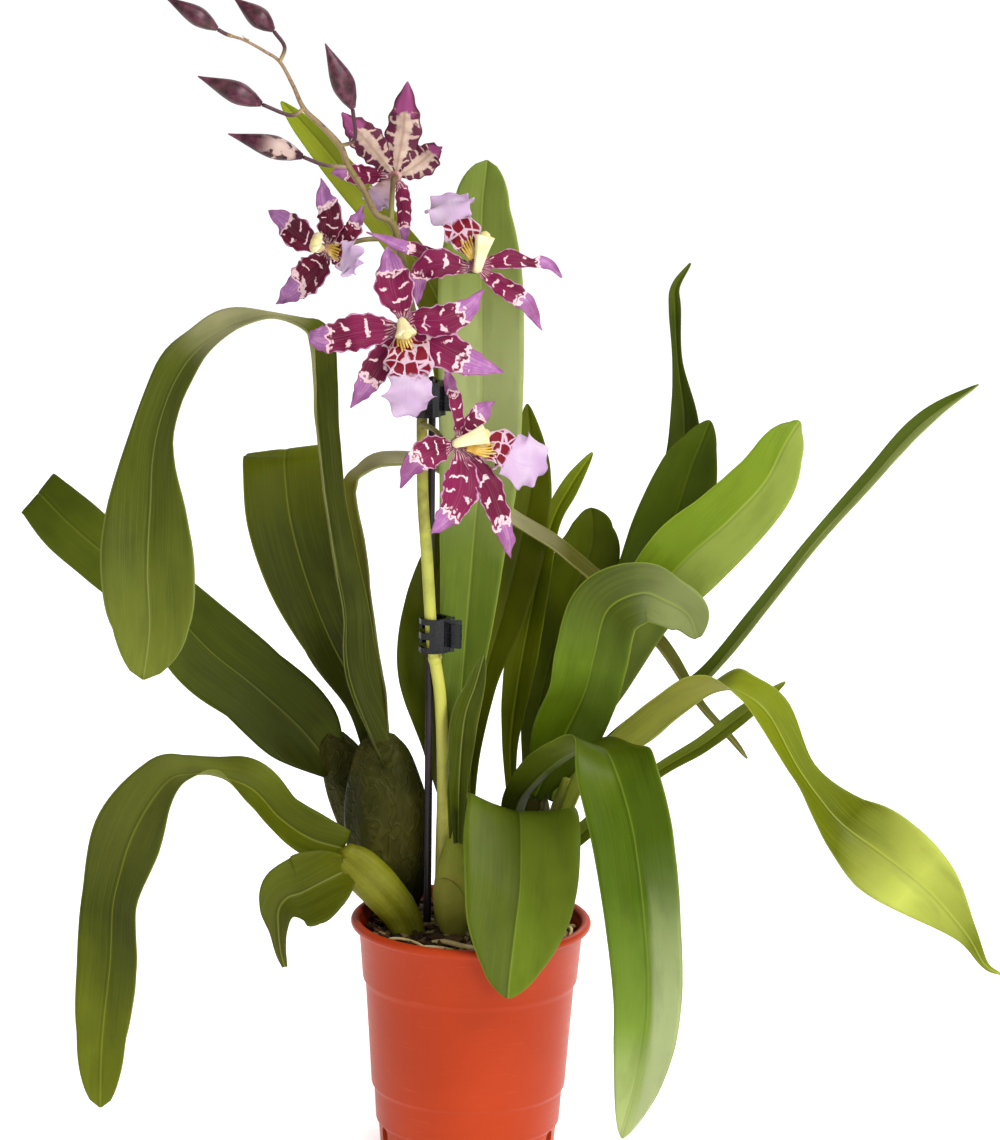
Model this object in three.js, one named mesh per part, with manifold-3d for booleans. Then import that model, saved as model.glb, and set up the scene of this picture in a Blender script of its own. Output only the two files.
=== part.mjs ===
// A potted odontoglossum orchid: bulbs, arching leaves and one spike of blooms in a nursery pot.
// Millimetres, +Z up. The origin is the centre of the pot's base, and the viewer stands at -Y.
import * as THREE from 'three';
import { mergeVertices } from 'three/addons/utils/BufferGeometryUtils.js';
import Module from 'manifold-3d';

const wasm = await Module();
wasm.setup();

// Driving dimensions
const GAP = 0.3;
const POT_RIM_RADIUS = 60;
const POT_HEIGHT = 117;
const POT_WALL = 1.8;
const POT_FLOOR_TOP = 6;
const POT_FLOOR_UNDERSIDE = 3;
const POT_SIDES = 28;
const NOTCH_COUNT = 8;
const NOTCH_WIDTH = 7;
const NOTCH_HEIGHT = 11.5;
const DRAIN_HOLE_COUNT = 5;
const DRAIN_HOLE_RADIUS = 3.5;
const DRAIN_HOLE_CIRCLE = 26;
const MIX_TOP = 110;
const BARK_CHIPS = 12;
const BARK_SPREAD = 43;
const BARK_SEED = 41;
const LEAF_THICKNESS = 1;
const PETAL_THICKNESS = 0.8;
const LIP_THICKNESS = 0.8;
const HUB_RADIUS = 3.2;
const HUB_BACK = 2;
const HUB_FRONT = 1.2;
const TEPAL_ROOT = 0.6;
const TEPAL_ROOT_HALF_WIDTH = 0.45;
const TEPAL_FOLD = [14, 10];
const LIP_START = 2.9;
const LIP_ROOT_HALF_WIDTH = 1.6;
const LIP_FOLD = [8, -8];
const LIP_WAVE = [1, 3];
const COLUMN_START = 1.9;
const COLUMN_RISE = 2.5;
const BLOOM_STALK_SQUARE = 7;
const BUD_STALK_RADIUS = 1.1;
const BUD_RIDGE = 0.08;
const STAKE_RADIUS = 2;
const STAKE_FOOT = new THREE.Vector3(-21.5, 2, 50);
const STAKE_TOP = new THREE.Vector3(-23.4, 2, 388);
const CLIP_HEIGHT = 17;
const CLIP_PLATE = 1.6;
const CLIP_CLAW_LENGTH = 8;
const CLIP_PIN_RADIUS = 0.9;
const CLIP_PIN_CLEARANCE = 0.1;
const CLIP_BARREL_RADIUS = 2.3;
const VIEWER = new THREE.Vector3(0, -1, 0);

const COLOURS = {
  pot: 0xb24a30,
  mix: 0x241a14,
  root: 0xc8b48a,
  bulbOld: 0x34341a,
  bulbYoung: 0x8c9a3a,
  leafDark: 0x36400c,
  leafMid: 0x58641c,
  leafBrown: 0x6f6a33,
  leafBright: 0x86a03c,
  leafYellow: 0x9da23a,
  spike: 0x9c9a46,
  tepal: 0x6e2146,
  lip: 0xe4d2ea,
  column: 0xeee0ae,
  bud: 0x43222a,
  stake: 0x1f1519,
  clip: 0x141416,
};

const group = new THREE.Group();

function addPart(name, geometry, colour, roughness) {
  const material = new THREE.MeshStandardMaterial({ color: colour, roughness, metalness: 0 });
  const mesh = new THREE.Mesh(geometry, material);
  mesh.name = name;
  group.add(mesh);
  return mesh;
}

// Solids from geometries and back

function toSolid(geometry) {
  const bare = geometry.clone();
  bare.deleteAttribute('normal');
  bare.deleteAttribute('uv');
  const merged = mergeVertices(bare, 1e-4);
  return new wasm.Manifold(new wasm.Mesh({
    numProp: 3,
    vertProperties: new Float32Array(merged.attributes.position.array),
    triVerts: new Uint32Array(merged.index.array),
  }));
}

function toGeometry(solid) {
  const mesh = solid.getMesh();
  const geometry = new THREE.BufferGeometry();
  geometry.setAttribute('position', new THREE.BufferAttribute(mesh.vertProperties, 3));
  geometry.setIndex(new THREE.BufferAttribute(mesh.triVerts, 1));
  geometry.computeVertexNormals();
  return geometry;
}

function joinSolids(solids) {
  return solids.reduce((joined, solid) => joined.add(solid));
}

// The largest body of a cut solid, without its loose scraps
function mainBody(solid) {
  const bodies = solid.decompose();
  return bodies.reduce((best, body) => (body.volume() > best.volume() ? body : best));
}

function seededRandom(seed) {
  let state = seed;
  return () => {
    state = (state * 16807) % 2147483647;
    return state / 2147483647;
  };
}

// Smooth values through rows of numbers: three columns at a time
function columnCurve(rows, first) {
  const points = rows.map((row) => new THREE.Vector3(row[first], row[first + 1] ?? 0, row[first + 2] ?? 0));
  return new THREE.CatmullRomCurve3(points, false, 'catmullrom', 0.5);
}

// A closed skin over rings that all have the same number of points
function loft(rings) {
  const sides = rings[0].length;
  const positions = rings.flat().flatMap((p) => [p.x, p.y, p.z]);
  const index = [];
  for (let i = 0; i < rings.length - 1; i += 1) {
    for (let j = 0; j < sides; j += 1) {
      const a = i * sides + j;
      const b = i * sides + (j + 1) % sides;
      index.push(a, b, b + sides, a, b + sides, a + sides);
    }
  }
  [rings[0], rings[rings.length - 1]].forEach((ring, end) => {
    const centre = ring.reduce((sum, p) => sum.add(p), new THREE.Vector3()).divideScalar(sides);
    const start = end === 0 ? 0 : (rings.length - 1) * sides;
    const middle = positions.length / 3;
    positions.push(centre.x, centre.y, centre.z);
    for (let j = 0; j < sides; j += 1) {
      const a = start + j;
      const b = start + (j + 1) % sides;
      if (end === 0) index.push(middle, b, a);
      else index.push(middle, a, b);
    }
  });
  const geometry = new THREE.BufferGeometry();
  geometry.setAttribute('position', new THREE.Float32BufferAttribute(positions, 3));
  geometry.setIndex(index);
  return geometry;
}

// Tangent, side and normal along a curve; the side turns as little as it can
function framesAlong(curve, stations, facing) {
  const fineSteps = (stations - 1) * 8;
  const side = new THREE.Vector3().crossVectors(curve.getTangent(0), facing).normalize();
  const frames = [];
  for (let k = 0; k <= fineSteps; k += 1) {
    const t = k / fineSteps;
    const tangent = curve.getTangent(t);
    side.addScaledVector(tangent, -side.dot(tangent)).normalize();
    if (k % 8 === 0) {
      const normal = new THREE.Vector3().crossVectors(side, tangent);
      frames.push({ t, point: curve.getPoint(t), tangent, side: side.clone(), normal });
    }
  }
  return frames;
}

// A round or ribbed stem along rows [x, y, z, radius]; grow makes it larger all round, ends too
function stem(rows, { sides = 6, stations = 12, facing = VIEWER, section = () => 1, grow = 0 } = {}) {
  const radii = columnCurve(rows, 3);
  const frames = framesAlong(columnCurve(rows, 0), stations, facing);
  frames[0].point.addScaledVector(frames[0].tangent, -grow);
  frames[stations - 1].point.addScaledVector(frames[stations - 1].tangent, grow);
  return loft(frames.map(({ t, point, side, normal }) => {
    const radius = Math.max(0.35, radii.getPoint(t).x) + grow;
    return Array.from({ length: sides }, (_, j) => {
      const angle = (2 * Math.PI * j) / sides;
      const reach = radius * section(angle, t);
      return point.clone()
        .addScaledVector(side, reach * Math.cos(angle))
        .addScaledVector(normal, -reach * Math.sin(angle));
    });
  }));
}

// A thin blade along rows [x, y, z, half width, twist in degrees].
// fold is how far each half leans towards the normal, in degrees, at the base and at the tip.
// wave is [height, number of waves] of the margins.
const NARROWEST = 0.5;

function blade(rows, options = {}) {
  const {
    stations = 13, across = 5, fold = [35, 12], thickness = LEAF_THICKNESS,
    facing = VIEWER, wave = [0, 0],
  } = options;
  const shape = columnCurve(rows, 3);
  const frames = framesAlong(columnCurve(rows, 0), stations, facing);
  const faces = [1, -1].map((face) => frames.map(({ t, point, side, normal }) => {
    const { x: width, y: twist } = shape.getPoint(t);
    const halfWidth = Math.max(NARROWEST, width);
    const turn = THREE.MathUtils.degToRad(twist);
    const [cos, sin] = [Math.cos(turn), Math.sin(turn)];
    const turnedSide = side.clone().multiplyScalar(cos).addScaledVector(normal, sin);
    const turnedNormal = normal.clone().multiplyScalar(cos).addScaledVector(side, -sin);
    const lean = THREE.MathUtils.degToRad(fold[0] + (fold[1] - fold[0]) * Math.sqrt(t));
    return Array.from({ length: across }, (_, j) => {
      const s = -1 + (2 * j) / (across - 1);
      const slope = Math.tan(lean) * Math.abs(s) ** 0.3 * Math.sign(s);
      const skin = turnedNormal.clone().addScaledVector(turnedSide, -slope).normalize();
      const ripple = wave[0] * Math.sin(2 * Math.PI * wave[1] * t + (s > 0 ? 1.1 : 0)) * s * s;
      return point.clone()
        .addScaledVector(turnedSide, halfWidth * s * Math.cos(lean))
        .addScaledVector(turnedNormal, halfWidth * Math.abs(s) ** 1.3 * Math.sin(lean) + ripple)
        .addScaledVector(skin, (face * thickness) / 2);
    });
  }));
  return closeBlade(faces, stations, across);
}

// Joins the two faces of a blade round its edge; both faces are split into triangles alike
function closeBlade(faces, stations, across) {
  const positions = faces.flat(2).flatMap((p) => [p.x, p.y, p.z]);
  const back = stations * across;
  const index = [];
  const quad = (a, b, c, d) => index.push(a, b, c, a, c, d);
  for (let i = 0; i < stations - 1; i += 1) {
    for (let j = 0; j < across - 1; j += 1) {
      const a = i * across + j;
      const b = a + 1;
      const c = b + across;
      const d = a + across;
      index.push(a, b, c, a, c, d);
      index.push(back + a, back + c, back + b, back + a, back + d, back + c);
    }
    const left = i * across;
    const right = left + across - 1;
    quad(left, left + across, back + left + across, back + left);
    quad(right, back + right, back + right + across, right + across);
  }
  const last = (stations - 1) * across;
  for (let j = 0; j < across - 1; j += 1) {
    quad(j, back + j, back + j + 1, j + 1);
    quad(last + j, last + j + 1, back + last + j + 1, back + last + j);
  }
  const geometry = new THREE.BufferGeometry();
  geometry.setAttribute('position', new THREE.Float32BufferAttribute(positions, 3));
  geometry.setIndex(index);
  return geometry;
}

// Pot: [radius, height] from the middle of the base, round the outside and down the inside
const POT_OUTSIDE = [
  [0, 0], [14, 0], [15.5, POT_FLOOR_UNDERSIDE], [37, POT_FLOOR_UNDERSIDE], [38.5, 0], [43.6, 0],
  [44.7, 11], [46, 12.8], [47, 29], [48.4, 31.5], [52, 83], [53.6, 86.5], [55.7, 111.6],
  [59.2, 112.6], [POT_RIM_RADIUS, 115], [59, POT_HEIGHT],
];
const POT_INSIDE = [
  [57, POT_HEIGHT], [55.8, 115.4], [53.8, 111], [51.6, 86.5], [46.4, 31], [43, 11], [41.8, POT_FLOOR_TOP],
];

function revolve(profile, sides) {
  const outline = profile.map(([radius, height]) => new THREE.Vector2(radius, height));
  const geometry = new THREE.LatheGeometry(outline, sides);
  return geometry.rotateX(Math.PI / 2);
}

function potSolid() {
  const profile = [...POT_OUTSIDE, ...POT_INSIDE, [0, POT_FLOOR_TOP]];
  const body = toSolid(revolve(profile, POT_SIDES));
  const cuts = [];
  for (let k = 0; k < NOTCH_COUNT; k += 1) {
    cuts.push(toSolid(notchGeometry(((k + 0.5) * 2 * Math.PI) / NOTCH_COUNT)));
  }
  for (let k = 0; k < DRAIN_HOLE_COUNT; k += 1) {
    const angle = (k * 2 * Math.PI) / DRAIN_HOLE_COUNT;
    const hole = new THREE.CylinderGeometry(DRAIN_HOLE_RADIUS, DRAIN_HOLE_RADIUS, 20, 6);
    hole.rotateX(Math.PI / 2);
    hole.translate(DRAIN_HOLE_CIRCLE * Math.cos(angle), DRAIN_HOLE_CIRCLE * Math.sin(angle), 0);
    cuts.push(toSolid(hole));
  }
  return cuts.reduce((pot, cut) => pot.subtract(cut), body);
}

// An arched opening through the foot of the wall
function notchGeometry(angle) {
  const half = NOTCH_WIDTH / 2;
  const arch = new THREE.Shape();
  arch.moveTo(-half, -4);
  arch.lineTo(half, -4);
  arch.lineTo(half, NOTCH_HEIGHT - half * 1.4);
  arch.quadraticCurveTo(half, NOTCH_HEIGHT, 0, NOTCH_HEIGHT);
  arch.quadraticCurveTo(-half, NOTCH_HEIGHT, -half, NOTCH_HEIGHT - half * 1.4);
  const geometry = new THREE.ExtrudeGeometry(arch, { depth: 16, bevelEnabled: false, curveSegments: 2 });
  geometry.rotateX(Math.PI / 2);
  geometry.translate(0, -35, 0);
  return geometry.rotateZ(angle);
}

// Bulbs: where each stands, where it points, and half its breadth across and from front to back
const BULB_PROFILE = [
  [0, 0.34], [0.14, 0.52], [0.3, 0.86], [0.5, 1], [0.68, 0.88], [0.84, 0.6], [1, 0.2],
];
const BULBS = [
  { name: 'bulb_old_front', foot: [-38, 12, 101], top: [-46, 14, 206], half: [20.5, 12], ribs: 0.05 },
  { name: 'bulb_old_back', foot: [-28, 32, 101], top: [-68, 40, 200], half: [13, 8], ribs: 0.05 },
  { name: 'bulb_middle', foot: [-8, -9, 101], top: [-8, -6, 164], half: [10.5, 9.5], ribs: 0 },
  { name: 'bulb_front', foot: [15, -4, 101], top: [19, -3, 164], half: [9.5, 9], ribs: 0 },
  { name: 'bulb_right', foot: [38, 2, 101], top: [46, 4, 188], half: [9.5, 8.5], ribs: 0.02 },
  { name: 'bulb_back_left', foot: [-6, 22, 101], top: [-6, 21, 172], half: [9.5, 8.5], ribs: 0.04 },
  { name: 'bulb_back_right', foot: [25, 24, 101], top: [31, 26, 176], half: [11, 9.5], ribs: 0.04 },
];
const OLD_BULBS = ['bulb_old_front', 'bulb_old_back', 'bulb_back_left', 'bulb_back_right'];
const BULB_SIDES = 12;
const BULB_RIBS = 6;

function bulb({ foot, top, half, ribs }, grow = 0) {
  const axis = columnCurve([foot, top], 0);
  const profile = columnCurve(BULB_PROFILE, 0);
  const rings = BULB_PROFILE.map((_, i) => {
    const { x: t, y: swell } = profile.getPoint(i / (BULB_PROFILE.length - 1));
    const centre = axis.getPoint(t);
    centre.z += grow * Math.round(2 * t - 1);
    return Array.from({ length: BULB_SIDES }, (_, j) => {
      const angle = (2 * Math.PI * j) / BULB_SIDES;
      const reach = swell * (1 + ribs * Math.cos(BULB_RIBS * angle));
      return new THREE.Vector3(
        centre.x + (half[0] * reach + grow) * Math.cos(angle),
        centre.y + (half[1] * reach + grow) * Math.sin(angle),
        centre.z,
      );
    });
  });
  return loft(rings);
}

// A flattened shoot that lies against the front of the old bulb and carries two leaves
const SHOOT_ROWS = [
  [-30, -9, 101, 8], [-33, -10, 117, 10], [-44, -13, 133, 11], [-56, -16, 146, 9], [-64, -18, 153, 5],
];

function shootGeometry(grow = 0) {
  const flat = (angle) => Math.hypot(Math.cos(angle), 0.5 * Math.sin(angle));
  return stem(SHOOT_ROWS, { sides: 10, stations: 9, section: flat, grow });
}

// Leaves: rows [x, y, z, half width, twist]
const LEAVES = [
  { name: 'leaf_arch_left', colour: COLOURS.leafMid, fold: [50, 14], stations: 17, across: 5, rows: [
    [-45, 9, 191, 5, -59], [-62, 7, 235, 15.5, -50], [-65, 4, 273, 12, -52], [-73, 0, 317, 11, -60],
    [-78, -3, 357, 11.5, -62], [-80, -5, 384, 13, -64], [-82, -8, 405, 14, -70],
    [-86, -11, 413, 6, -84], [-101, -13, 418, 3.5, -90], [-118, -16, 414, 12.5, -92],
    [-132, -20, 405, 12, -84], [-143, -25, 393, 13, -76], [-154, -30, 365, 13, -70],
    [-157, -35, 329, 20.5, -52], [-158, -38, 298, 23.5, -34], [-157, -38, 270, 19, -30],
    [-160, -38, 244, 0.6, -26],
  ] },
  { name: 'leaf_folded_left', colour: COLOURS.leafMid, fold: [24, -4], stations: 14, across: 5, rows: [
    [-47, 27, 188, 4, -5], [-57, 29, 219, 6, -5], [-73, 28, 251, 14, -5], [-85, 26, 282, 19.5, -5],
    [-93, 24, 312, 21.5, -5], [-96, 24, 337, 20.5, 0], [-96, 28, 343, 20, 8], [-96, 34, 344, 18, 8],
    [-96, 40, 328, 16, 4], [-94, 44, 302, 9, -5], [-92, 46, 282, 0.6, -5],
  ] },
  { name: 'leaf_passing_behind', colour: COLOURS.leafBrown, fold: [45, 20],
    stations: 17, across: 3, rows: [
    [-41, 17, 189, 3.5, 51], [-44, 20, 219, 9, 51], [-49, 21, 247, 8.5, 51], [-55, 20, 293, 7.5, 51],
    [-61, 18, 323, 5.5, 52], [-61, 18, 331, 7, 58], [-58, 19, 336, 6, 64], [-46, 23, 340, 9, 60],
    [-19, 29, 336, 8, 52], [16, 31, 311, 9, 50], [41, 31, 295, 9, 50], [65, 31, 275, 8.5, 48],
    [91, 28, 249, 8, 46], [111, 24, 222, 4, 40], [128, 20, 205, 2.2, 20], [136, 18, 196, 0.6, 0],
  ] },
  { name: 'leaf_far_left', colour: COLOURS.leafDark, fold: [30, -4], stations: 13, across: 5, rows: [
    [-71, 39, 181, 5, -13], [-88, 39, 202, 17, -13], [-112, 38, 224, 21, -13],
    [-134, 37, 242, 22, -13], [-159, 35, 269, 17, -13], [-185, 33, 290, 15.5, -13],
    [-203, 31, 306, 15.5, -13], [-216, 32, 319, 13, -13], [-218, 37, 319, 12.5, -13],
    [-203, 40, 308, 11, -13], [-189, 42, 293, 0.6, -13],
  ] },
  { name: 'leaf_arch_low_left', colour: COLOURS.leafMid, fold: [40, 14], stations: 14, across: 5, rows: [
    [-63, -13, 154, 6, -44], [-80, -16, 160, 10.5, -35], [-95, -22, 172, 12.5, -35],
    [-108, -31, 189, 13.5, -42], [-125, -34, 196, 13.5, -91], [-137, -37, 197, 13.5, -85],
    [-149, -41, 193, 15, -63], [-164, -45, 169, 19.5, -43], [-173, -47, 137, 16.5, -47],
    [-175, -48, 104, 16.5, -37], [-179, -48, 67, 12.5, -25], [-180, -48, 30, 0.6, -22],
  ] },
  { name: 'leaf_short_left', colour: COLOURS.leafBright, fold: [40, 20], stations: 11, across: 5, rows: [
    [-62, -20, 145, 6, -16], [-72, -25, 141, 14, -16], [-83, -29, 136, 20.5, -16],
    [-90, -32, 134, 17, -18], [-94, -33, 128, 10, -18], [-94, -33, 118, 5, -16],
    [-93, -31, 107, 3, -14], [-91, -29, 98, 1.5, -12],
  ] },
  { name: 'leaf_dark_behind_stake', colour: COLOURS.leafDark, fold: [40, 14],
    stations: 10, across: 3, rows: [
    [-12, 20, 165, 3.5, 0], [-17, 24, 198, 10, 0], [-23, 27, 236, 17, 0], [-22, 28, 269, 15, 0],
    [-16, 28, 300, 9, 0], [-10, 28, 320, 0.6, 0],
  ] },
  { name: 'leaf_tall_middle', colour: COLOURS.leafBright, fold: [45, 14], stations: 13, across: 5, rows: [
    [-9, -7, 159, 3.5, 0], [-9, -3, 183, 4.5, 0], [-6, 4, 204, 6, 0], [-7, 11, 225, 9, 0],
    [-6, 17, 246, 12.5, 0], [-3, 19, 294, 17, 0], [0, 20, 344, 21, 0], [0, 20, 394, 22, 0],
    [-1, 20, 438, 21, 0], [-1, 19, 470, 14, 0], [1, 19, 492, 0.6, 0],
  ] },
  { name: 'leaf_short_middle', colour: COLOURS.leafBright, fold: [45, 25], stations: 8, across: 3, rows: [
    [-7, -12, 158, 3, 0], [-7, -9, 190, 6, 0], [-5, -5, 219, 8, 0], [0, -4, 236, 5.5, 0],
    [4, -3, 251, 0.6, 0],
  ] },
  { name: 'leaf_tall_back', colour: COLOURS.leafBright, fold: [45, 20], stations: 14, across: 3, rows: [
    [-6, 26, 163, 3, 0], [-8, 38, 197, 5, 0], [-8, 45, 268, 10, 0], [-8, 45, 329, 12, 0],
    [-12, 44, 380, 12, 0], [-22, 40, 420, 11, 0], [-41, 35, 450, 9, 0], [-65, 29, 479, 8, 0],
    [-86, 25, 504, 6, 0], [-99, 22, 518, 0.6, 0],
  ] },
  { name: 'leaf_dark_middle', colour: COLOURS.leafDark, fold: [45, 14], stations: 11, across: 3, rows: [
    [-2, 24, 164, 3, 0], [-1, 32, 194, 5, 0], [4, 39, 229, 8, 0], [13, 43, 264, 13, 0],
    [21, 44, 300, 14, 0], [26, 43, 335, 10, 0], [23, 41, 369, 0.6, 0],
  ] },
  { name: 'leaf_narrow_middle', colour: COLOURS.leafMid, fold: [45, 20], stations: 11, across: 3, rows: [
    [19, 24, 171, 3, 0], [18, 34, 199, 5, 0], [22, 44, 233, 9, 0], [28, 49, 268, 8, 0],
    [36, 50, 306, 5, 0], [45, 49, 326, 5, 0], [56, 48, 344, 0.6, 0],
  ] },
  { name: 'leaf_rounded_middle', colour: COLOURS.leafDark, fold: [45, 14],
    stations: 11, across: 5, rows: [
    [27, 30, 169, 3, 0], [30, 44, 202, 8, 0], [37, 55, 236, 14, 0], [47, 60, 266, 17, 0],
    [56, 60, 291, 17, 0], [57, 59, 305, 11, 0], [56, 58, 314, 0.6, 0],
  ] },
  { name: 'leaf_hooked_right', colour: COLOURS.leafDark, fold: [45, 25], stations: 14, across: 3, rows: [
    [34, 36, 168, 3, 0], [46, 50, 195, 5, 0], [66, 64, 234, 9, 0], [86, 72, 286, 12.5, 0],
    [101, 74, 327, 12.5, 0], [102, 74, 358, 8, 0], [98, 73, 387, 3, 0], [96, 72, 413, 3.5, 0],
    [96, 71, 425, 2.5, 0], [103, 68, 437, 0.6, 0],
  ] },
  { name: 'leaf_broad_back_right', colour: COLOURS.leafDark, fold: [45, 14],
    stations: 11, across: 5, rows: [
    [38, 27, 170, 3, 4], [53, 38, 199, 6, 6], [65, 46, 233, 11, 8], [83, 50, 274, 17.5, 8],
    [97, 51, 309, 20, 8], [105, 51, 336, 15.5, 8], [110, 50, 350, 9, 8], [114, 50, 361, 0.6, 8],
  ] },
  { name: 'leaf_broad_right', colour: COLOURS.leafBright, fold: [40, 4], stations: 14, across: 5, rows: [
    [41, 19, 172, 3, 8], [53, 20, 206, 7, 8], [66, 19, 235, 12, 8], [84, 16, 274, 16.5, 8],
    [102, 13, 298, 20.5, 8], [122, 9, 318, 18.5, 8], [139, 6, 338, 16, 8], [147, 5, 355, 11.5, 8],
    [151, 7, 362, 8, 8], [154, 10, 366, 3.5, 8], [156, 13, 368, 0.6, 8],
  ] },
  { name: 'leaf_long_right', colour: COLOURS.leafDark, fold: [45, 30], stations: 11, across: 3, rows: [
    [46, 8, 176, 3, 61], [68, 8, 204, 5, 61], [96, 4, 223, 9, 50], [115, -1, 243, 5.5, 42],
    [138, -6, 275, 5, 38], [163, -11, 311, 4.5, 36], [189, -15, 344, 5, 36], [213, -18, 373, 5.5, 36],
    [239, -20, 393, 0.6, 61],
  ] },
  { name: 'leaf_arched_front_right', colour: COLOURS.leafBright, fold: [36, 10],
    stations: 13, across: 5, rows: [
    [30, 14, 174, 4, 4], [44, 6, 208, 17.5, 5], [54, -3, 234, 18.5, 6], [58, -9, 254, 19.5, 9],
    [64, -11, 277, 18.5, 10], [80, -8, 285, 15.5, 5], [92, -5, 281, 13, -5], [104, -1, 273, 10.5, -15],
    [109, 2, 261, 2, -20],
  ] },
  { name: 'leaf_twisted_right', colour: COLOURS.leafYellow, fold: [40, 14],
    stations: 17, across: 5, rows: [
    [42, 2, 155, 4, 118], [58, -8, 193, 9, 130], [81, -17, 210, 16.5, 136], [100, -26, 229, 17.5, 134],
    [118, -32, 242, 20.5, 122], [130, -36, 242, 12, 92], [143, -40, 232, 11.5, 72],
    [159, -44, 205, 8, 72], [177, -48, 183, 15.5, 62], [197, -51, 169, 21.5, 42],
    [220, -53, 152, 17.5, 37], [240, -54, 130, 6, 32], [250, -54, 114, 2, 32],
    [258, -54, 109, 0.6, 32],
  ] },
  { name: 'leaf_narrow_right', colour: COLOURS.leafDark, fold: [40, 25], stations: 8, across: 3, rows: [
    [45, -4, 152, 4, 12], [59, -8, 168, 5.5, 12], [89, -14, 196, 4, 12], [112, -17, 212, 4.5, 12],
    [132, -19, 229, 4.5, 12], [151, -21, 245, 0.6, 12],
  ] },
  { name: 'leaf_drooping_front', colour: COLOURS.leafBright, fold: [24, 10],
    stations: 15, across: 5, rows: [
    [20, 4, 157, 5, 146], [23, -1, 178, 9, 146], [36, -18, 198, 14, 150], [51, -38, 213, 18, 146],
    [62, -55, 218, 18, 158], [69, -72, 210, 20, 118], [77, -83, 184, 20.5, 108],
    [83, -88, 144, 19, 107], [86, -91, 105, 17, 107], [83, -92, 70, 13, 104], [75, -92, 35, 0.6, 102],
  ] },
  { name: 'leaf_over_rim', colour: COLOURS.leafMid, fold: [18, 8], stations: 13, across: 5, rows: [
    [16, -6, 141, 6, 180], [20, -11, 158, 16, 180], [21, -18, 172, 25, 180], [23, -25, 177, 28, 168],
    [24, -37, 167, 29, 158], [24, -50, 148, 28, 158], [22, -60, 129, 24, 158], [20, -66, 110, 14, 158],
    [19, -70, 97, 0.6, 158],
  ] },
];

// The flower spike: rows [x, y, z, radius]
const SPIKE_ROWS = [
  [-15, 4, 101, 3.3], [-15, 4, 149, 3.3], [-15, 3, 186, 3.1], [-17, 0, 228, 3], [-21.5, -3.5, 259, 2.9],
  [-24.5, -4.6, 299, 2.9], [-27, -5, 329, 2.8], [-28, -3.5, 364, 2.7], [-28, -3, 380, 2.6],
  [-30, -5, 403, 2.5], [-35, -13, 428, 2.4], [-39, -19, 450, 2.2], [-43, -21, 465, 2.1],
  [-51, -23, 470, 2], [-57, -26, 482, 2], [-64, -29, 493, 1.9], [-68, -32, 503, 1.9], [-77, -35, 513, 1.7],
  [-85, -38, 521, 1.6], [-90, -41, 532, 1.4], [-96, -44, 543, 1.3], [-103, -46, 548, 1.2],
  [-112, -48, 553, 1.1], [-118, -49, 555, 1.2],
];

// Buds: the stalk from the spike, then the bud from its base to its tip with its greatest radius
const BUDS = [
  { name: 'bud_end', tip: [-149, -54, 573], radius: 4.5,
    stalk: [[-118, -49, 555], [-121, -49, 556], [-124.5, -50, 558]] },
  { name: 'bud_upper', tip: [-118, -40, 572], radius: 5,
    stalk: [[-96, -44, 543], [-94, -43, 550], [-99, -42, 557]] },
  { name: 'bud_left', tip: [-134, -48, 536], radius: 5.3,
    stalk: [[-85, -38, 521], [-91, -41, 518], [-104, -44, 523]] },
  { name: 'bud_lower', tip: [-120, -44, 509], radius: 5.5,
    stalk: [[-64, -29, 493], [-75, -33, 494], [-85, -37, 498]] },
  { name: 'bud_upright', tip: [-75, -44, 552], radius: 5.5,
    stalk: [[-68, -32, 503], [-61, -36, 507], [-62, -39, 521]] },
];

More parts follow.
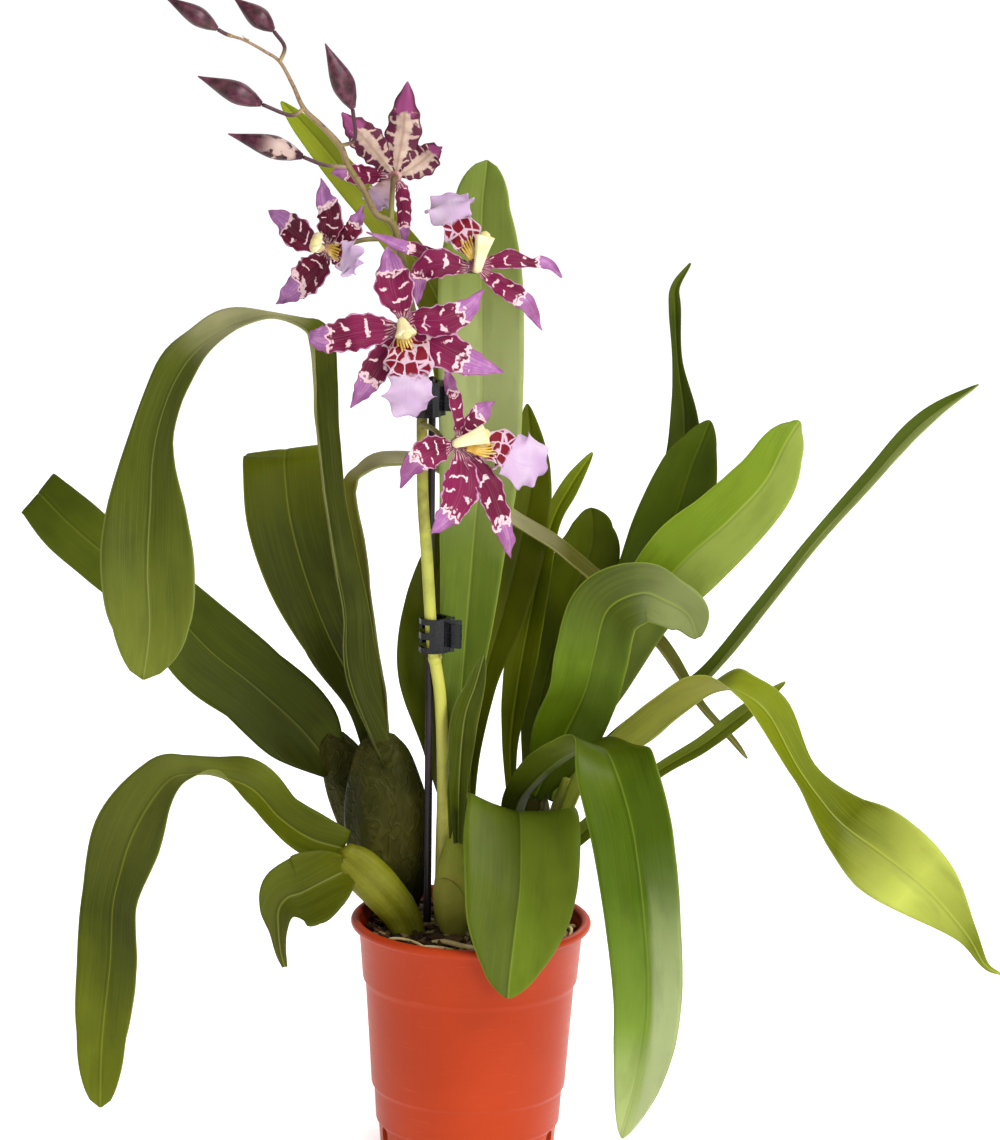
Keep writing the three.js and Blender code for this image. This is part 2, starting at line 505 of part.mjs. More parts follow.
// Blooms: the centre of the hub, the way each faces, where its stalk leaves the spike and the tip of
// its column. Each tepal and the lip run outwards as rows [x, y, z, half width].
const BLOOMS = [
  { name: 'bloom_back_view', centre: [-42, -14, 487], facing: [0.1, 0.98, 0.05],
    stalkFrom: [-44, -21, 467], columnTip: [-44, -4, 491],
    tepals: [
      [[-41, -14, 495, 5.2], [-39, -12, 507, 7.9], [-38, -15, 520, 5.5], [-37, -21, 533, 0.3]],
      [[-36, -14, 490, 4.8], [-29, -13, 495, 7.1], [-24, -16, 500, 3.8], [-20, -20, 502, 0.3]],
      [[-48, -13, 494, 4.8], [-55, -11, 502, 7.4], [-62, -13, 510, 5.2], [-68, -17, 517, 0.3]],
      [[-51, -12, 487, 3.3], [-60, -10, 487, 4.5], [-67, -11, 488, 3.3], [-73, -13, 488, 0.3]],
      [[-39, -14, 480, 3.1], [-38, -12, 470, 3.3], [-38, -13, 461, 2.6], [-37, -16, 455, 0.3]],
    ],
    lip: [[-47, -9, 481, 4.3], [-50, -5, 476, 6.7], [-50, -2, 472, 6.2], [-50, -3, 469, 2.9]] },
  { name: 'bloom_left', centre: [-73, -44, 456], facing: [-0.45, -0.88, 0.1],
    stalkFrom: [-41, -20, 458], columnTip: [-78, -53, 460],
    tepals: [
      [[-80, -41, 458, 4.3], [-87, -38, 462, 7.1], [-94, -32, 467, 4.8], [-102, -24, 471, 0.3]],
      [[-72, -45, 463, 5.2], [-71, -45, 471, 6.2], [-74, -41, 478, 4.8], [-77, -34, 488, 0.3]],
      [[-68, -46, 460, 2.4], [-62, -49, 464, 4.3], [-59, -48, 470, 3.3], [-56, -47, 477, 0.3]],
      [[-75, -44, 451, 4.8], [-80, -44, 444, 8.1], [-88, -39, 436, 5.7], [-98, -30, 427, 0.3]],
      [[-70, -44, 453, 2.4], [-67, -42, 450, 3.3], [-64, -39, 447, 2.4], [-63, -36, 444, 0.3]],
    ],
    lip: [[-68, -54, 456, 4.3], [-65, -61, 455, 7.1], [-61, -66, 453, 8.1], [-59, -69, 450, 4.3]] },
  { name: 'bloom_lip_up', centre: [-3, -32, 447], facing: [0.05, -0.93, 0.35],
    stalkFrom: [-37, -17, 440], columnTip: [1, -35, 462],
    tepals: [
      [[4, -33, 449, 2.9], [14, -33, 451, 4.3], [23, -31, 449, 2.1], [30, -28, 449, 2.9],
        [38, -27, 442, 0.3]],
      [[4, -35, 442, 3.3], [12, -38, 437, 4.5], [21, -39, 431, 4], [29, -38, 418, 0.3]],
      [[-10, -34, 447, 3.3], [-20, -37, 449, 6.7], [-28, -37, 445, 5.2], [-30, -39, 437, 2.9],
        [-30, -42, 429, 0.3]],
      [[-10, -30, 448, 1.9], [-25, -27, 452, 2.9], [-38, -31, 456, 2.9], [-55, -35, 463, 0.3]],
      [[-5, -27, 451, 2.4], [-8, -22, 457, 2.9], [-12, -17, 464, 2.4], [-15, -14, 471, 0.3]],
    ],
    lip: [
      [-6, -32, 455, 4.3], [-9, -32, 462, 8.6], [-13, -29, 468, 7.6], [-16, -24, 474, 11.4],
      [-17, -19, 477, 10], [-17, -16, 480, 4.8],
    ] },
  { name: 'bloom_front', centre: [-37, -48, 421], facing: [0, -0.99, 0.1],
    stalkFrom: [-32, -9, 416], columnTip: [-35, -58, 418],
    tepals: [
      [[-38, -48, 429, 4.8], [-41, -49, 439, 8.6], [-43, -45, 448, 5.7], [-45, -39, 457, 0.3]],
      [[-30, -49, 423, 5.2], [-18, -51, 424, 7.1], [-7, -48, 429, 4.8], [1, -43, 438, 0.3]],
      [[-30, -49, 416, 5.7], [-17, -52, 410, 8.3], [-4, -51, 404, 5.7], [11, -46, 399, 0.3]],
      [[-45, -49, 419, 5.2], [-57, -51, 418, 8.1], [-68, -51, 415, 6.7], [-76, -49, 414, 5.2],
        [-81, -45, 416, 1]],
      [[-41, -49, 413, 3.8], [-47, -51, 404, 6.2], [-54, -51, 392, 4.8], [-61, -49, 381, 0.3]],
    ],
    lip: [
      [-36, -54, 414, 6.7], [-34, -58, 409, 11], [-33, -60, 402, 10.5], [-33, -60, 395, 9.5],
      [-33, -57, 388, 12.4], [-32, -55, 382, 8.6], [-30, -53, 378, 2.4],
    ] },
  { name: 'bloom_right', centre: [-11, -40, 363], facing: [0.5, -0.85, 0.15],
    stalkFrom: [-28, -5, 366], columnTip: [3, -40, 368],
    tepals: [
      [[-10, -39, 371, 2.4], [-11, -41, 381, 3.1], [-14, -39, 390, 3.1], [-16, -36, 397, 1.4]],
      [[-7, -37, 367, 2.9], [-4, -35, 372, 4.8], [1, -30, 377, 4.3], [7, -23, 381, 0.3]],
      [[-17, -46, 362, 4.8], [-24, -53, 361, 7.1], [-31, -57, 356, 5.2], [-37, -55, 344, 0.3]],
      [[-9, -42, 355, 5.2], [-9, -45, 344, 9.5], [-12, -48, 334, 7.1], [-17, -50, 327, 4.3],
        [-22, -50, 321, 0.3]],
      [[-4, -39, 355, 3.8], [4, -38, 343, 6.2], [9, -37, 330, 5.7], [14, -34, 316, 3.8],
        [16, -31, 306, 0.3]],
    ],
    lip: [
      [2, -38, 360, 4.3], [9, -38, 361, 9.5], [14, -35, 358, 9], [20, -31, 354, 12.9],
      [27, -26, 352, 11.9], [33, -20, 348, 3.8],
    ] },
];

function vector([x, y, z]) {
  return new THREE.Vector3(x, y, z);
}

// A tepal starts inside the hub and runs through its rows
function tepal(centre, facing, rows) {
  const outwards = vector(rows[0]).sub(centre).normalize();
  const root = centre.clone().addScaledVector(outwards, HUB_RADIUS * TEPAL_ROOT);
  const start = [...root.toArray(), HUB_RADIUS * TEPAL_ROOT_HALF_WIDTH, 0];
  return blade([start, ...rows.map((row) => [...row, 0])], {
    stations: 7, across: 3, fold: TEPAL_FOLD, thickness: PETAL_THICKNESS, facing,
  });
}

// The lip starts in front of the hub, beside the column, and widens into a ruffled fan
function lip(centre, facing, rows) {
  const start = centre.clone().addScaledVector(facing, HUB_FRONT + GAP + LIP_THICKNESS);
  const outwards = vector(rows[0]).sub(start);
  outwards.addScaledVector(facing, -outwards.dot(facing)).normalize();
  const root = [...start.addScaledVector(outwards, LIP_START).toArray(), LIP_ROOT_HALF_WIDTH, 0];
  return blade([root, ...rows.map((row) => [...row, 0])], {
    stations: 8, fold: LIP_FOLD, thickness: LIP_THICKNESS, facing, wave: LIP_WAVE,
  });
}

// The column leans out of the hub, away from the lip, and ends in a small hood
function column(centre, facing, lipRow, tip) {
  const away = centre.clone().sub(vector(lipRow));
  away.addScaledVector(facing, -away.dot(facing)).normalize();
  const start = centre.clone().addScaledVector(facing, HUB_FRONT + 2 * GAP);
  start.addScaledVector(away, COLUMN_START);
  const straight = start.clone().addScaledVector(facing, COLUMN_RISE);
  const middle = straight.clone().lerp(vector(tip), 0.5);
  const rows = [[start, 1.6], [straight, 1.9], [middle, 2.5], [vector(tip), 2.8]];
  return stem(rows.map(([point, radius]) => [...point.toArray(), radius]), { stations: 5, facing: away });
}

function hub(centre, facing) {
  const disc = new THREE.CylinderGeometry(HUB_RADIUS, HUB_RADIUS, HUB_BACK + HUB_FRONT, 8);
  disc.translate(0, (HUB_FRONT - HUB_BACK) / 2, 0);
  disc.applyQuaternion(new THREE.Quaternion().setFromUnitVectors(new THREE.Vector3(0, 1, 0), facing));
  return disc.translate(centre.x, centre.y, centre.z);
}

function addBloom({ name, centre, facing, tepals, lip: lipRows, columnTip }) {
  const middle = vector(centre);
  const front = vector(facing).normalize();
  const blades = tepals.map((rows) => toSolid(tepal(middle, front, rows)));
  const star = joinSolids([toSolid(hub(middle, front)), ...blades]);
  addPart(`${name}_tepals`, toGeometry(star), COLOURS.tepal, 0.5);
  addPart(`${name}_lip`, lip(middle, front, lipRows), COLOURS.lip, 0.5);
  addPart(`${name}_column`, column(middle, front, lipRows[0], columnTip), COLOURS.column, 0.45);
}

// The stalk of a bloom leaves the spike and meets the back of the hub squarely
function bloomStalk({ centre, facing, stalkFrom }) {
  const front = vector(facing).normalize();
  const end = vector(centre).addScaledVector(front, -HUB_BACK - GAP);
  const before = end.clone().addScaledVector(front, -BLOOM_STALK_SQUARE);
  const from = vector(stalkFrom);
  const between = from.clone().lerp(before, 0.55);
  between.z += 2;
  const rows = [[from, 1.5], [between, 1.3], [before, 1.4], [end, 1.5]];
  return stem(rows.map(([point, radius]) => [...point.toArray(), radius]), { sides: 5, stations: 6 });
}

function budStalk({ stalk }) {
  const rows = stalk.map(([x, y, z]) => [x, y, z, BUD_STALK_RADIUS]);
  return stem(rows, { sides: 5, stations: 5 });
}

// A spindle with three soft ridges, where the folded sepals meet
const BUD_PROFILE = [[0, 0.26], [0.16, 0.72], [0.34, 1], [0.52, 0.86], [0.74, 0.46], [1, 0.1]];

function budGeometry({ stalk, tip, radius }) {
  const base = vector(stalk[stalk.length - 1]);
  const direction = base.clone().sub(vector(stalk[stalk.length - 2])).normalize();
  const start = base.clone().addScaledVector(direction, 2 * GAP);
  const end = vector(tip);
  const rows = BUD_PROFILE.map(([t, swell]) => {
    const point = start.clone().lerp(end, t);
    return [point.x, point.y, point.z, swell * radius];
  });
  return stem(rows, { sides: 9, stations: 6, section: (angle) => 1 + BUD_RIDGE * Math.cos(3 * angle) });
}

function spikeSolid() {
  const rachis = toSolid(stem(SPIKE_ROWS, { sides: 6, stations: 28 }));
  return joinSolids([
    rachis,
    ...BLOOMS.map((bloom) => toSolid(bloomStalk(bloom))),
    ...BUDS.map((bud) => toSolid(budStalk(bud))),
  ]);
}

function stakeGeometry(grow = 0) {
  const rows = [[...STAKE_FOOT.toArray(), STAKE_RADIUS], [...STAKE_TOP.toArray(), STAKE_RADIUS * 0.9]];
  return stem(rows, { sides: 8, stations: 2, grow });
}

// Potting mix: fills the pot to MIX_TOP, with bark chips lying on it and a plain hole for each stem
function mixBody() {
  const lined = ([radius, height]) => [radius - GAP, height];
  const walls = POT_INSIDE.slice(3).reverse().map(lined);
  walls[0][1] += GAP;
  const [upper, lower] = [POT_INSIDE[2], POT_INSIDE[3]];
  const slope = (upper[0] - lower[0]) / (upper[1] - lower[1]);
  const topRadius = lower[0] + slope * (MIX_TOP - lower[1]) - GAP;
  const top = [[topRadius, MIX_TOP - 1], [topRadius - 2, MIX_TOP], [0, MIX_TOP]];
  return toSolid(revolve([[0, POT_FLOOR_TOP + GAP], ...walls, ...top], POT_SIDES));
}

function barkChips() {
  const random = seededRandom(BARK_SEED);
  const chips = [];
  for (let k = 0; k < BARK_CHIPS; k += 1) {
    const chip = new THREE.BoxGeometry(8 + 6 * random(), 5 + 4 * random(), 2.5 + 1.5 * random());
    chip.rotateX(0.5 * (random() - 0.5));
    chip.rotateY(0.5 * (random() - 0.5));
    chip.rotateZ(Math.PI * random());
    const reach = BARK_SPREAD * Math.sqrt((k + 0.5) / BARK_CHIPS);
    const angle = k * 2.4;
    chip.translate(reach * Math.cos(angle), reach * Math.sin(angle), MIX_TOP + 0.4 * random());
    chips.push(toSolid(chip));
  }
  return chips;
}

// A pale root that loops over the bark at the front, with its ends sunk in the mix
const ROOT_RADIUS = 1.3;
const ROOT_ROWS = [
  [-22, -14, 106], [-19, -24, 110], [-12, -33, 113.5], [-2, -39, 113], [7, -43, 113.5], [14, -40, 112],
  [16, -34, 107],
];

function rootGeometry(grow = 0) {
  return stem(ROOT_ROWS.map((row) => [...row, ROOT_RADIUS]), { grow });
}

function mixSolid() {
  const stems = [
    ...BULBS.map((spec) => bulb(spec, GAP)),
    shootGeometry(GAP),
    stakeGeometry(GAP),
    rootGeometry(GAP),
    stem(SPIKE_ROWS.slice(0, 2), { stations: 2, grow: GAP }),
  ];
  const filled = joinSolids([mixBody(), ...barkChips()]);
  return mainBody(stems.reduce((mix, hole) => mix.subtract(toSolid(hole)), filled));
}

// Claw clips: seen from above, the hinge is at the origin and the claws reach towards -X
const CLIP_ARM = [[-0.6, -1.7], [-4.5, -6.2], [-9, -7.4], [-13, -5.6], [-14.6, -1.8]];
const CLIP_HANDLE = [[-0.4, -1.9], [2, -4.1], [5.4, -5.4]];
const CLIP_KNUCKLE = 2.6;
const CLIPS = [
  { name: 'clip_lower', at: [-12.7, -1, 261], turn: 0 },
  { name: 'clip_upper', at: [-19, 1.9, 378], turn: 20 },
];

// A bent strip that stands between two heights
function plate(points, low, high) {
  const route = new THREE.SplineCurve(points.map(([x, y]) => new THREE.Vector2(x, y)));
  const pieces = points.length;
  const left = [];
  const right = [];
  for (let i = 0; i <= pieces; i += 1) {
    const point = route.getPoint(i / pieces);
    const tangent = route.getTangent(i / pieces).multiplyScalar(CLIP_PLATE / 2);
    left.push(new THREE.Vector2(point.x - tangent.y, point.y + tangent.x));
    right.push(new THREE.Vector2(point.x + tangent.y, point.y - tangent.x));
  }
  const shape = new THREE.Shape([...left, ...right.reverse()]);
  const geometry = new THREE.ExtrudeGeometry(shape, { depth: high - low, bevelEnabled: false });
  return toSolid(geometry.translate(0, 0, low));
}

function barrel(low, high, radius) {
  const geometry = new THREE.CylinderGeometry(radius, radius, high - low, 10);
  geometry.rotateX(Math.PI / 2);
  return toSolid(geometry.translate(0, 0, (low + high) / 2));
}

// One jaw: a curved plate with the gaps between its claws cut out, a handle and its knuckles
function jaw(gaps, knuckles) {
  const half = CLIP_HEIGHT / 2;
  const curved = gaps.reduce((solid, [low, high]) => {
    const box = new THREE.BoxGeometry(CLIP_CLAW_LENGTH, 12, high - low);
    return solid.subtract(toSolid(box.translate(-10 - CLIP_CLAW_LENGTH / 2, -6, (low + high) / 2)));
  }, plate(CLIP_ARM, -half, half));
  const handle = plate(CLIP_HANDLE, -half * 0.7, half * 0.7);
  const barrels = knuckles.map(([low, high]) => barrel(low, high, CLIP_BARREL_RADIUS));
  return joinSolids([curved, handle, ...barrels]);
}

// The front jaw has the middle knuckle and the pin, and the rear jaw has the two outer knuckles
function clipJaws() {
  const half = CLIP_HEIGHT / 2;
  const room = CLIP_BARREL_RADIUS + GAP;
  const above = barrel(CLIP_KNUCKLE, half + 1, room);
  const below = barrel(-half - 1, -CLIP_KNUCKLE, room);
  const frontGaps = [[-5.8, -1.6], [1.6, 5.8]];
  const front = jaw(frontGaps, [[-CLIP_KNUCKLE, CLIP_KNUCKLE]]).subtract(above).subtract(below);
  const outer = [[-half, -CLIP_KNUCKLE - GAP], [CLIP_KNUCKLE + GAP, half]];
  const middle = barrel(-CLIP_KNUCKLE - GAP, CLIP_KNUCKLE + GAP, room);
  const bore = barrel(-half - 1, half + 1, CLIP_PIN_RADIUS + CLIP_PIN_CLEARANCE);
  const rearGaps = [[-half - 1, -5.3], [-2, 2], [5.3, half + 1]];
  const rear = jaw(rearGaps, outer).subtract(middle).subtract(bore);
  return [front.add(barrel(-half, half, CLIP_PIN_RADIUS)), rear.mirror([0, 1, 0])];
}

function addClip({ name, at, turn }) {
  const [front, rear] = clipJaws();
  [[`${name}_front_jaw`, front], [`${name}_rear_jaw`, rear]].forEach(([part, solid]) => {
    const mesh = addPart(part, toGeometry(mainBody(solid)), COLOURS.clip, 0.25);
    mesh.position.set(...at);
    mesh.rotation.z = THREE.MathUtils.degToRad(turn);
  });
}

// Everything is put together here
addPart('pot', toGeometry(potSolid()), COLOURS.pot, 0.35);
addPart('potting_mix', toGeometry(mixSolid()), COLOURS.mix, 0.95);
addPart('root', rootGeometry(), COLOURS.root, 0.8);
BULBS.forEach((spec) => {
  const colour = OLD_BULBS.includes(spec.name) ? COLOURS.bulbOld : COLOURS.bulbYoung;
  addPart(spec.name, bulb(spec), colour, 0.5);
});
addPart('shoot', shootGeometry(), COLOURS.bulbYoung, 0.5);

const grownBulbs = [...BULBS.map((spec) => toSolid(bulb(spec, GAP))), toSolid(shootGeometry(GAP))];
LEAVES.forEach(({ name, rows, colour, ...options }) => {
  const whole = toSolid(blade(rows, options));
  const cut = grownBulbs.reduce((leaf, hollow) => leaf.subtract(hollow), whole);
  addPart(name, toGeometry(mainBody(cut)), colour, 0.4);
});

addPart('flower_spike', toGeometry(spikeSolid()), COLOURS.spike, 0.5);
BUDS.forEach((bud) => addPart(bud.name, budGeometry(bud), COLOURS.bud, 0.5));
BLOOMS.forEach(addBloom);
addPart('stake', stakeGeometry(), COLOURS.stake, 0.35);
CLIPS.forEach(addClip);

export default group;
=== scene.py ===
"""Looks of the potted odontoglossum orchid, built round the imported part. Lengths are in millimetres."""

import math
import random

import bpy
import numpy as np
from mathutils import Matrix, Vector, noise


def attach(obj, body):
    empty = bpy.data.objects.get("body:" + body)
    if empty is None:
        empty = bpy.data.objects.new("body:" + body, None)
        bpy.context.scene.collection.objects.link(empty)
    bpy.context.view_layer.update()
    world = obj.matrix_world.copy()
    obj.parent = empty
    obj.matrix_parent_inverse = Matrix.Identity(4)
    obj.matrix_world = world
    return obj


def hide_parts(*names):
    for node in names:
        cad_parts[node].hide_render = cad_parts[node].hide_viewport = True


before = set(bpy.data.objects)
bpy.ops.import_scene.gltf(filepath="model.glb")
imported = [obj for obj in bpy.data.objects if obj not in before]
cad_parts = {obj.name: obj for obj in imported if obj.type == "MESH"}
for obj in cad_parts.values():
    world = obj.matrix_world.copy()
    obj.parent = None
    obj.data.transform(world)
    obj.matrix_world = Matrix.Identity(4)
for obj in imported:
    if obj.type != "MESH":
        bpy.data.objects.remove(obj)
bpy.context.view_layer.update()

MM = 0.001
VIEWER = np.array((0.0, -1.0, 0.0))
WHITE = (1, 1, 1, 1)
CURVE_STEP, FRAME_STEPS = 1e-4, 4
NARROWEST, THINNEST, DOME = 0.25, 0.08, 0.35
LEAF_STATIONS, LEAF_ACROSS = 96, 17
TEPAL_STATIONS, TEPAL_ACROSS = 44, 15
LEAF_THICKNESS, PETAL_THICKNESS, MARGIN_THINNING = 0.8, 0.6, 0.75
WAVE_SHIFT, FRILL_SHIFT, RIB_REACH = 1.1, 2.3, 0.9
MIDRIB_DEPTH, SWELL_HEIGHT, TIP_FULLNESS, DULLER_BELOW = 0.28, 1.1, 0.35, 0.14
HUB_RADIUS, HUB_BACK, HUB_FRONT = 3.2, 2.0, 1.2
HUB_ROWS = ((-HUB_BACK, 1.9), (-1.0, 2.8), (0, 2.8), (HUB_FRONT, 1.9))
CAP_ROWS = ((-1.2, 1.9), (0.6, 2.5), (1.6, 1.9), (2.3, 0.7))
BUD_STALK_RADIUS = 0.95
GAP = 0.3
STAKE = [(-21.5, 2, 50, 2.0), (-23.4, 2, 388, 1.8)]

# Shine of surfaces, where tepals turn plain, counts of bars and streaks, and the side of a bud's patch
SHINE, LEAF_SHINE, SKIN_SHINE = 0.3, 0.1, 0.16
TEPAL_PLAIN, REVERSE_PLAIN = 0.7, 0.68
TEPAL_BARS, STREAK_COUNT = 7.0, 22
PATCH_SIDE = 1.2

# The pot: the middle and radius of its rim, and points (radius, height) of its wall
POT_RIM = ((57.4, 114.6), 2.4)
POT_OUTSIDE = [
    (0, 0.4), (13.6, 0.4), (14.4, 0.8), (15.5, 3), (37, 3), (38, 0.8), (38.6, 0), (43.2, 0), (43.7, 0.5),
    (44.6, 10.6), (44.9, 11.4), (45.7, 12.2), (46, 12.9), (47, 28.6), (47.3, 29.6), (48.2, 30.8), (48.5, 31.8),
    (52, 82.6), (52.3, 84), (53.3, 85.6), (53.6, 87), (55.6, 110.6), (56.6, 112.2),
]
POT_INSIDE = [(54.6, 112.2), (53.7, 110.6), (51.6, 86.5), (46.4, 31), (43, 11), (41.8, 6.6), (41.2, 6), (0, 6)]
POT_SIDES, POT_SHARP = 160, 28
NOTCHES, NOTCH_WIDTH, NOTCH_HEIGHT, NOTCH_REACH = 8, 7.0, 11.5, (51, 35)
DRAIN_HOLES, DRAIN_RADIUS, DRAIN_CIRCLE = 5, 3.5, 26.0
CUT_BELOW = 4

# The mix: points (height, radius) of the pot inside, and the flakes of bark on top
MIX_TOP, MIX_DROP, MIX_SIDES, MIX_RINGS = 110.0, 1.6, 96, 26
MIX_WALL = [(6.4, 41.4), (31, 46.0), (86.5, 51.2), (110.0, 53.2)]
CHIP_COUNT, CHIP_SEED, CHIP_REACH = 520, 7, 50.0
GOLDEN_ANGLE = 2.399963

# Roots that lie on the mix; a small one has its radius and its route
ROOT_RADIUS = 1.3
ROOT_ROWS = [
    (-22, -14, 106), (-19, -24, 110), (-12, -33, 113.5), (-2, -39, 113), (7, -43, 113.5), (14, -40, 112),
    (16, -34, 107),
]
SMALL_ROOTS = [
    (1.0, [(-30, -36, 108), (-24, -40, 112.5), (-14, -42, 113), (-6, -46, 112), (0, -45, 108)]),
    (0.8, [(28, -34, 108), (34, -32, 113), (41, -28, 113.5), (46, -20, 112), (48, -14, 108)]),
    (0.9, [(2, -30, 108), (8, -36, 112), (18, -38, 113), (27, -40, 112), (33, -38, 108)]),
    (0.7, [(-44, -18, 108), (-38, -26, 112.5), (-30, -30, 113), (-22, -38, 112), (-16, -42, 108)]),
    (0.8, [(44, 6, 108), (48, 0, 112), (50, -6, 112.5), (48, -14, 108)]),
    (0.7, [(12, 40, 108), (2, 44, 112.5), (-10, 43, 113), (-20, 40, 108)]),
]

# Bulbs: the age, the foot, the top, the half sizes and the depth of the ribs
OLD, YOUNG = "bulb_old", "bulb_young"
BULB_PROFILES = {
    YOUNG: [(0, 0.34), (0.14, 0.52), (0.3, 0.86), (0.5, 1), (0.68, 0.88), (0.84, 0.6), (1, 0.2)],
    OLD: [(0, 0.34), (0.14, 0.54), (0.3, 0.88), (0.5, 1), (0.68, 0.95), (0.84, 0.76), (0.94, 0.56), (1, 0.3)],
}
BULBS = {
    "bulb_old_front": (OLD, (-38, 12, 101), (-46, 14, 206), (20.5, 12), 0.05),
    "bulb_old_back": (OLD, (-30, 32, 101), (-71, 40, 200), (16, 8), 0.05),
    "bulb_middle": (YOUNG, (-8, -9, 101), (-8, -6, 164), (10.5, 9.5), 0.01),
    "bulb_front": (YOUNG, (15, -4, 101), (19, -3, 164), (9.5, 9), 0.01),
    "bulb_right": (YOUNG, (38, 2, 101), (46, 4, 188), (9.5, 8.5), 0.02),
    "bulb_back_left": (OLD, (-6, 22, 101), (-6, 21, 172), (9.5, 8.5), 0.04),
    "bulb_back_right": (OLD, (25, 24, 101), (31, 26, 176), (11, 9.5), 0.04),
}
SHOOT_ROWS = [
    (-30, -9, 101, 7.5), (-33, -10, 117, 9), (-44, -13, 133, 10.6), (-56, -16, 146, 10.4), (-64, -18, 153, 7),
]

# Sheaths: the bulb, the skin, the side in degrees, the spread, the height as a share and the tilt
SHEATH_LIFTS = (0.75, 0.35)
SHEATHS = {
    "sheath_middle": ("bulb_middle", "sheath_yellow", -110, 75, 0.62, -10),
    "sheath_front": ("bulb_front", "sheath_yellow", -50, 70, 0.62, 30),
    "sheath_right": ("bulb_right", "sheath_green", -95, 80, 0.78, 0),
    "sheath_right_dry": ("bulb_right", "sheath_dry", -50, 50, 0.5, 12),
}

# Skins: the colours, the scale of the patches, the least roughness, the relief, the streaks and the shine
BULB_SKINS = {
    "bulb_young_skin": (("5f5c1a", "767a24", "868c30", "8f7a34"), 34.0, 0.34, (0.3, 0.0006), 0.04, SKIN_SHINE),
    "sheath_dry": (("3a2c16", "5e4e26", "7a6a3c"), 60.0, 0.6, (0.5, 0.0006), 0.1, SHINE),
    "sheath_green": (("5c6a1c", "77842e", "8e9a44"), 30.0, 0.5, (0.3, 0.0004), 0.08, SKIN_SHINE),
    "sheath_yellow": (("6c6a1e", "80802a", "98943e"), 30.0, 0.45, (0.3, 0.0004), 0.06, SKIN_SHINE),
    "shoot_skin": (("4c4c04", "5e5e0a", "6c6c10", "757522"), 40.0, 0.42, (0.4, 0.0005), 0.06, SKIN_SHINE),
}

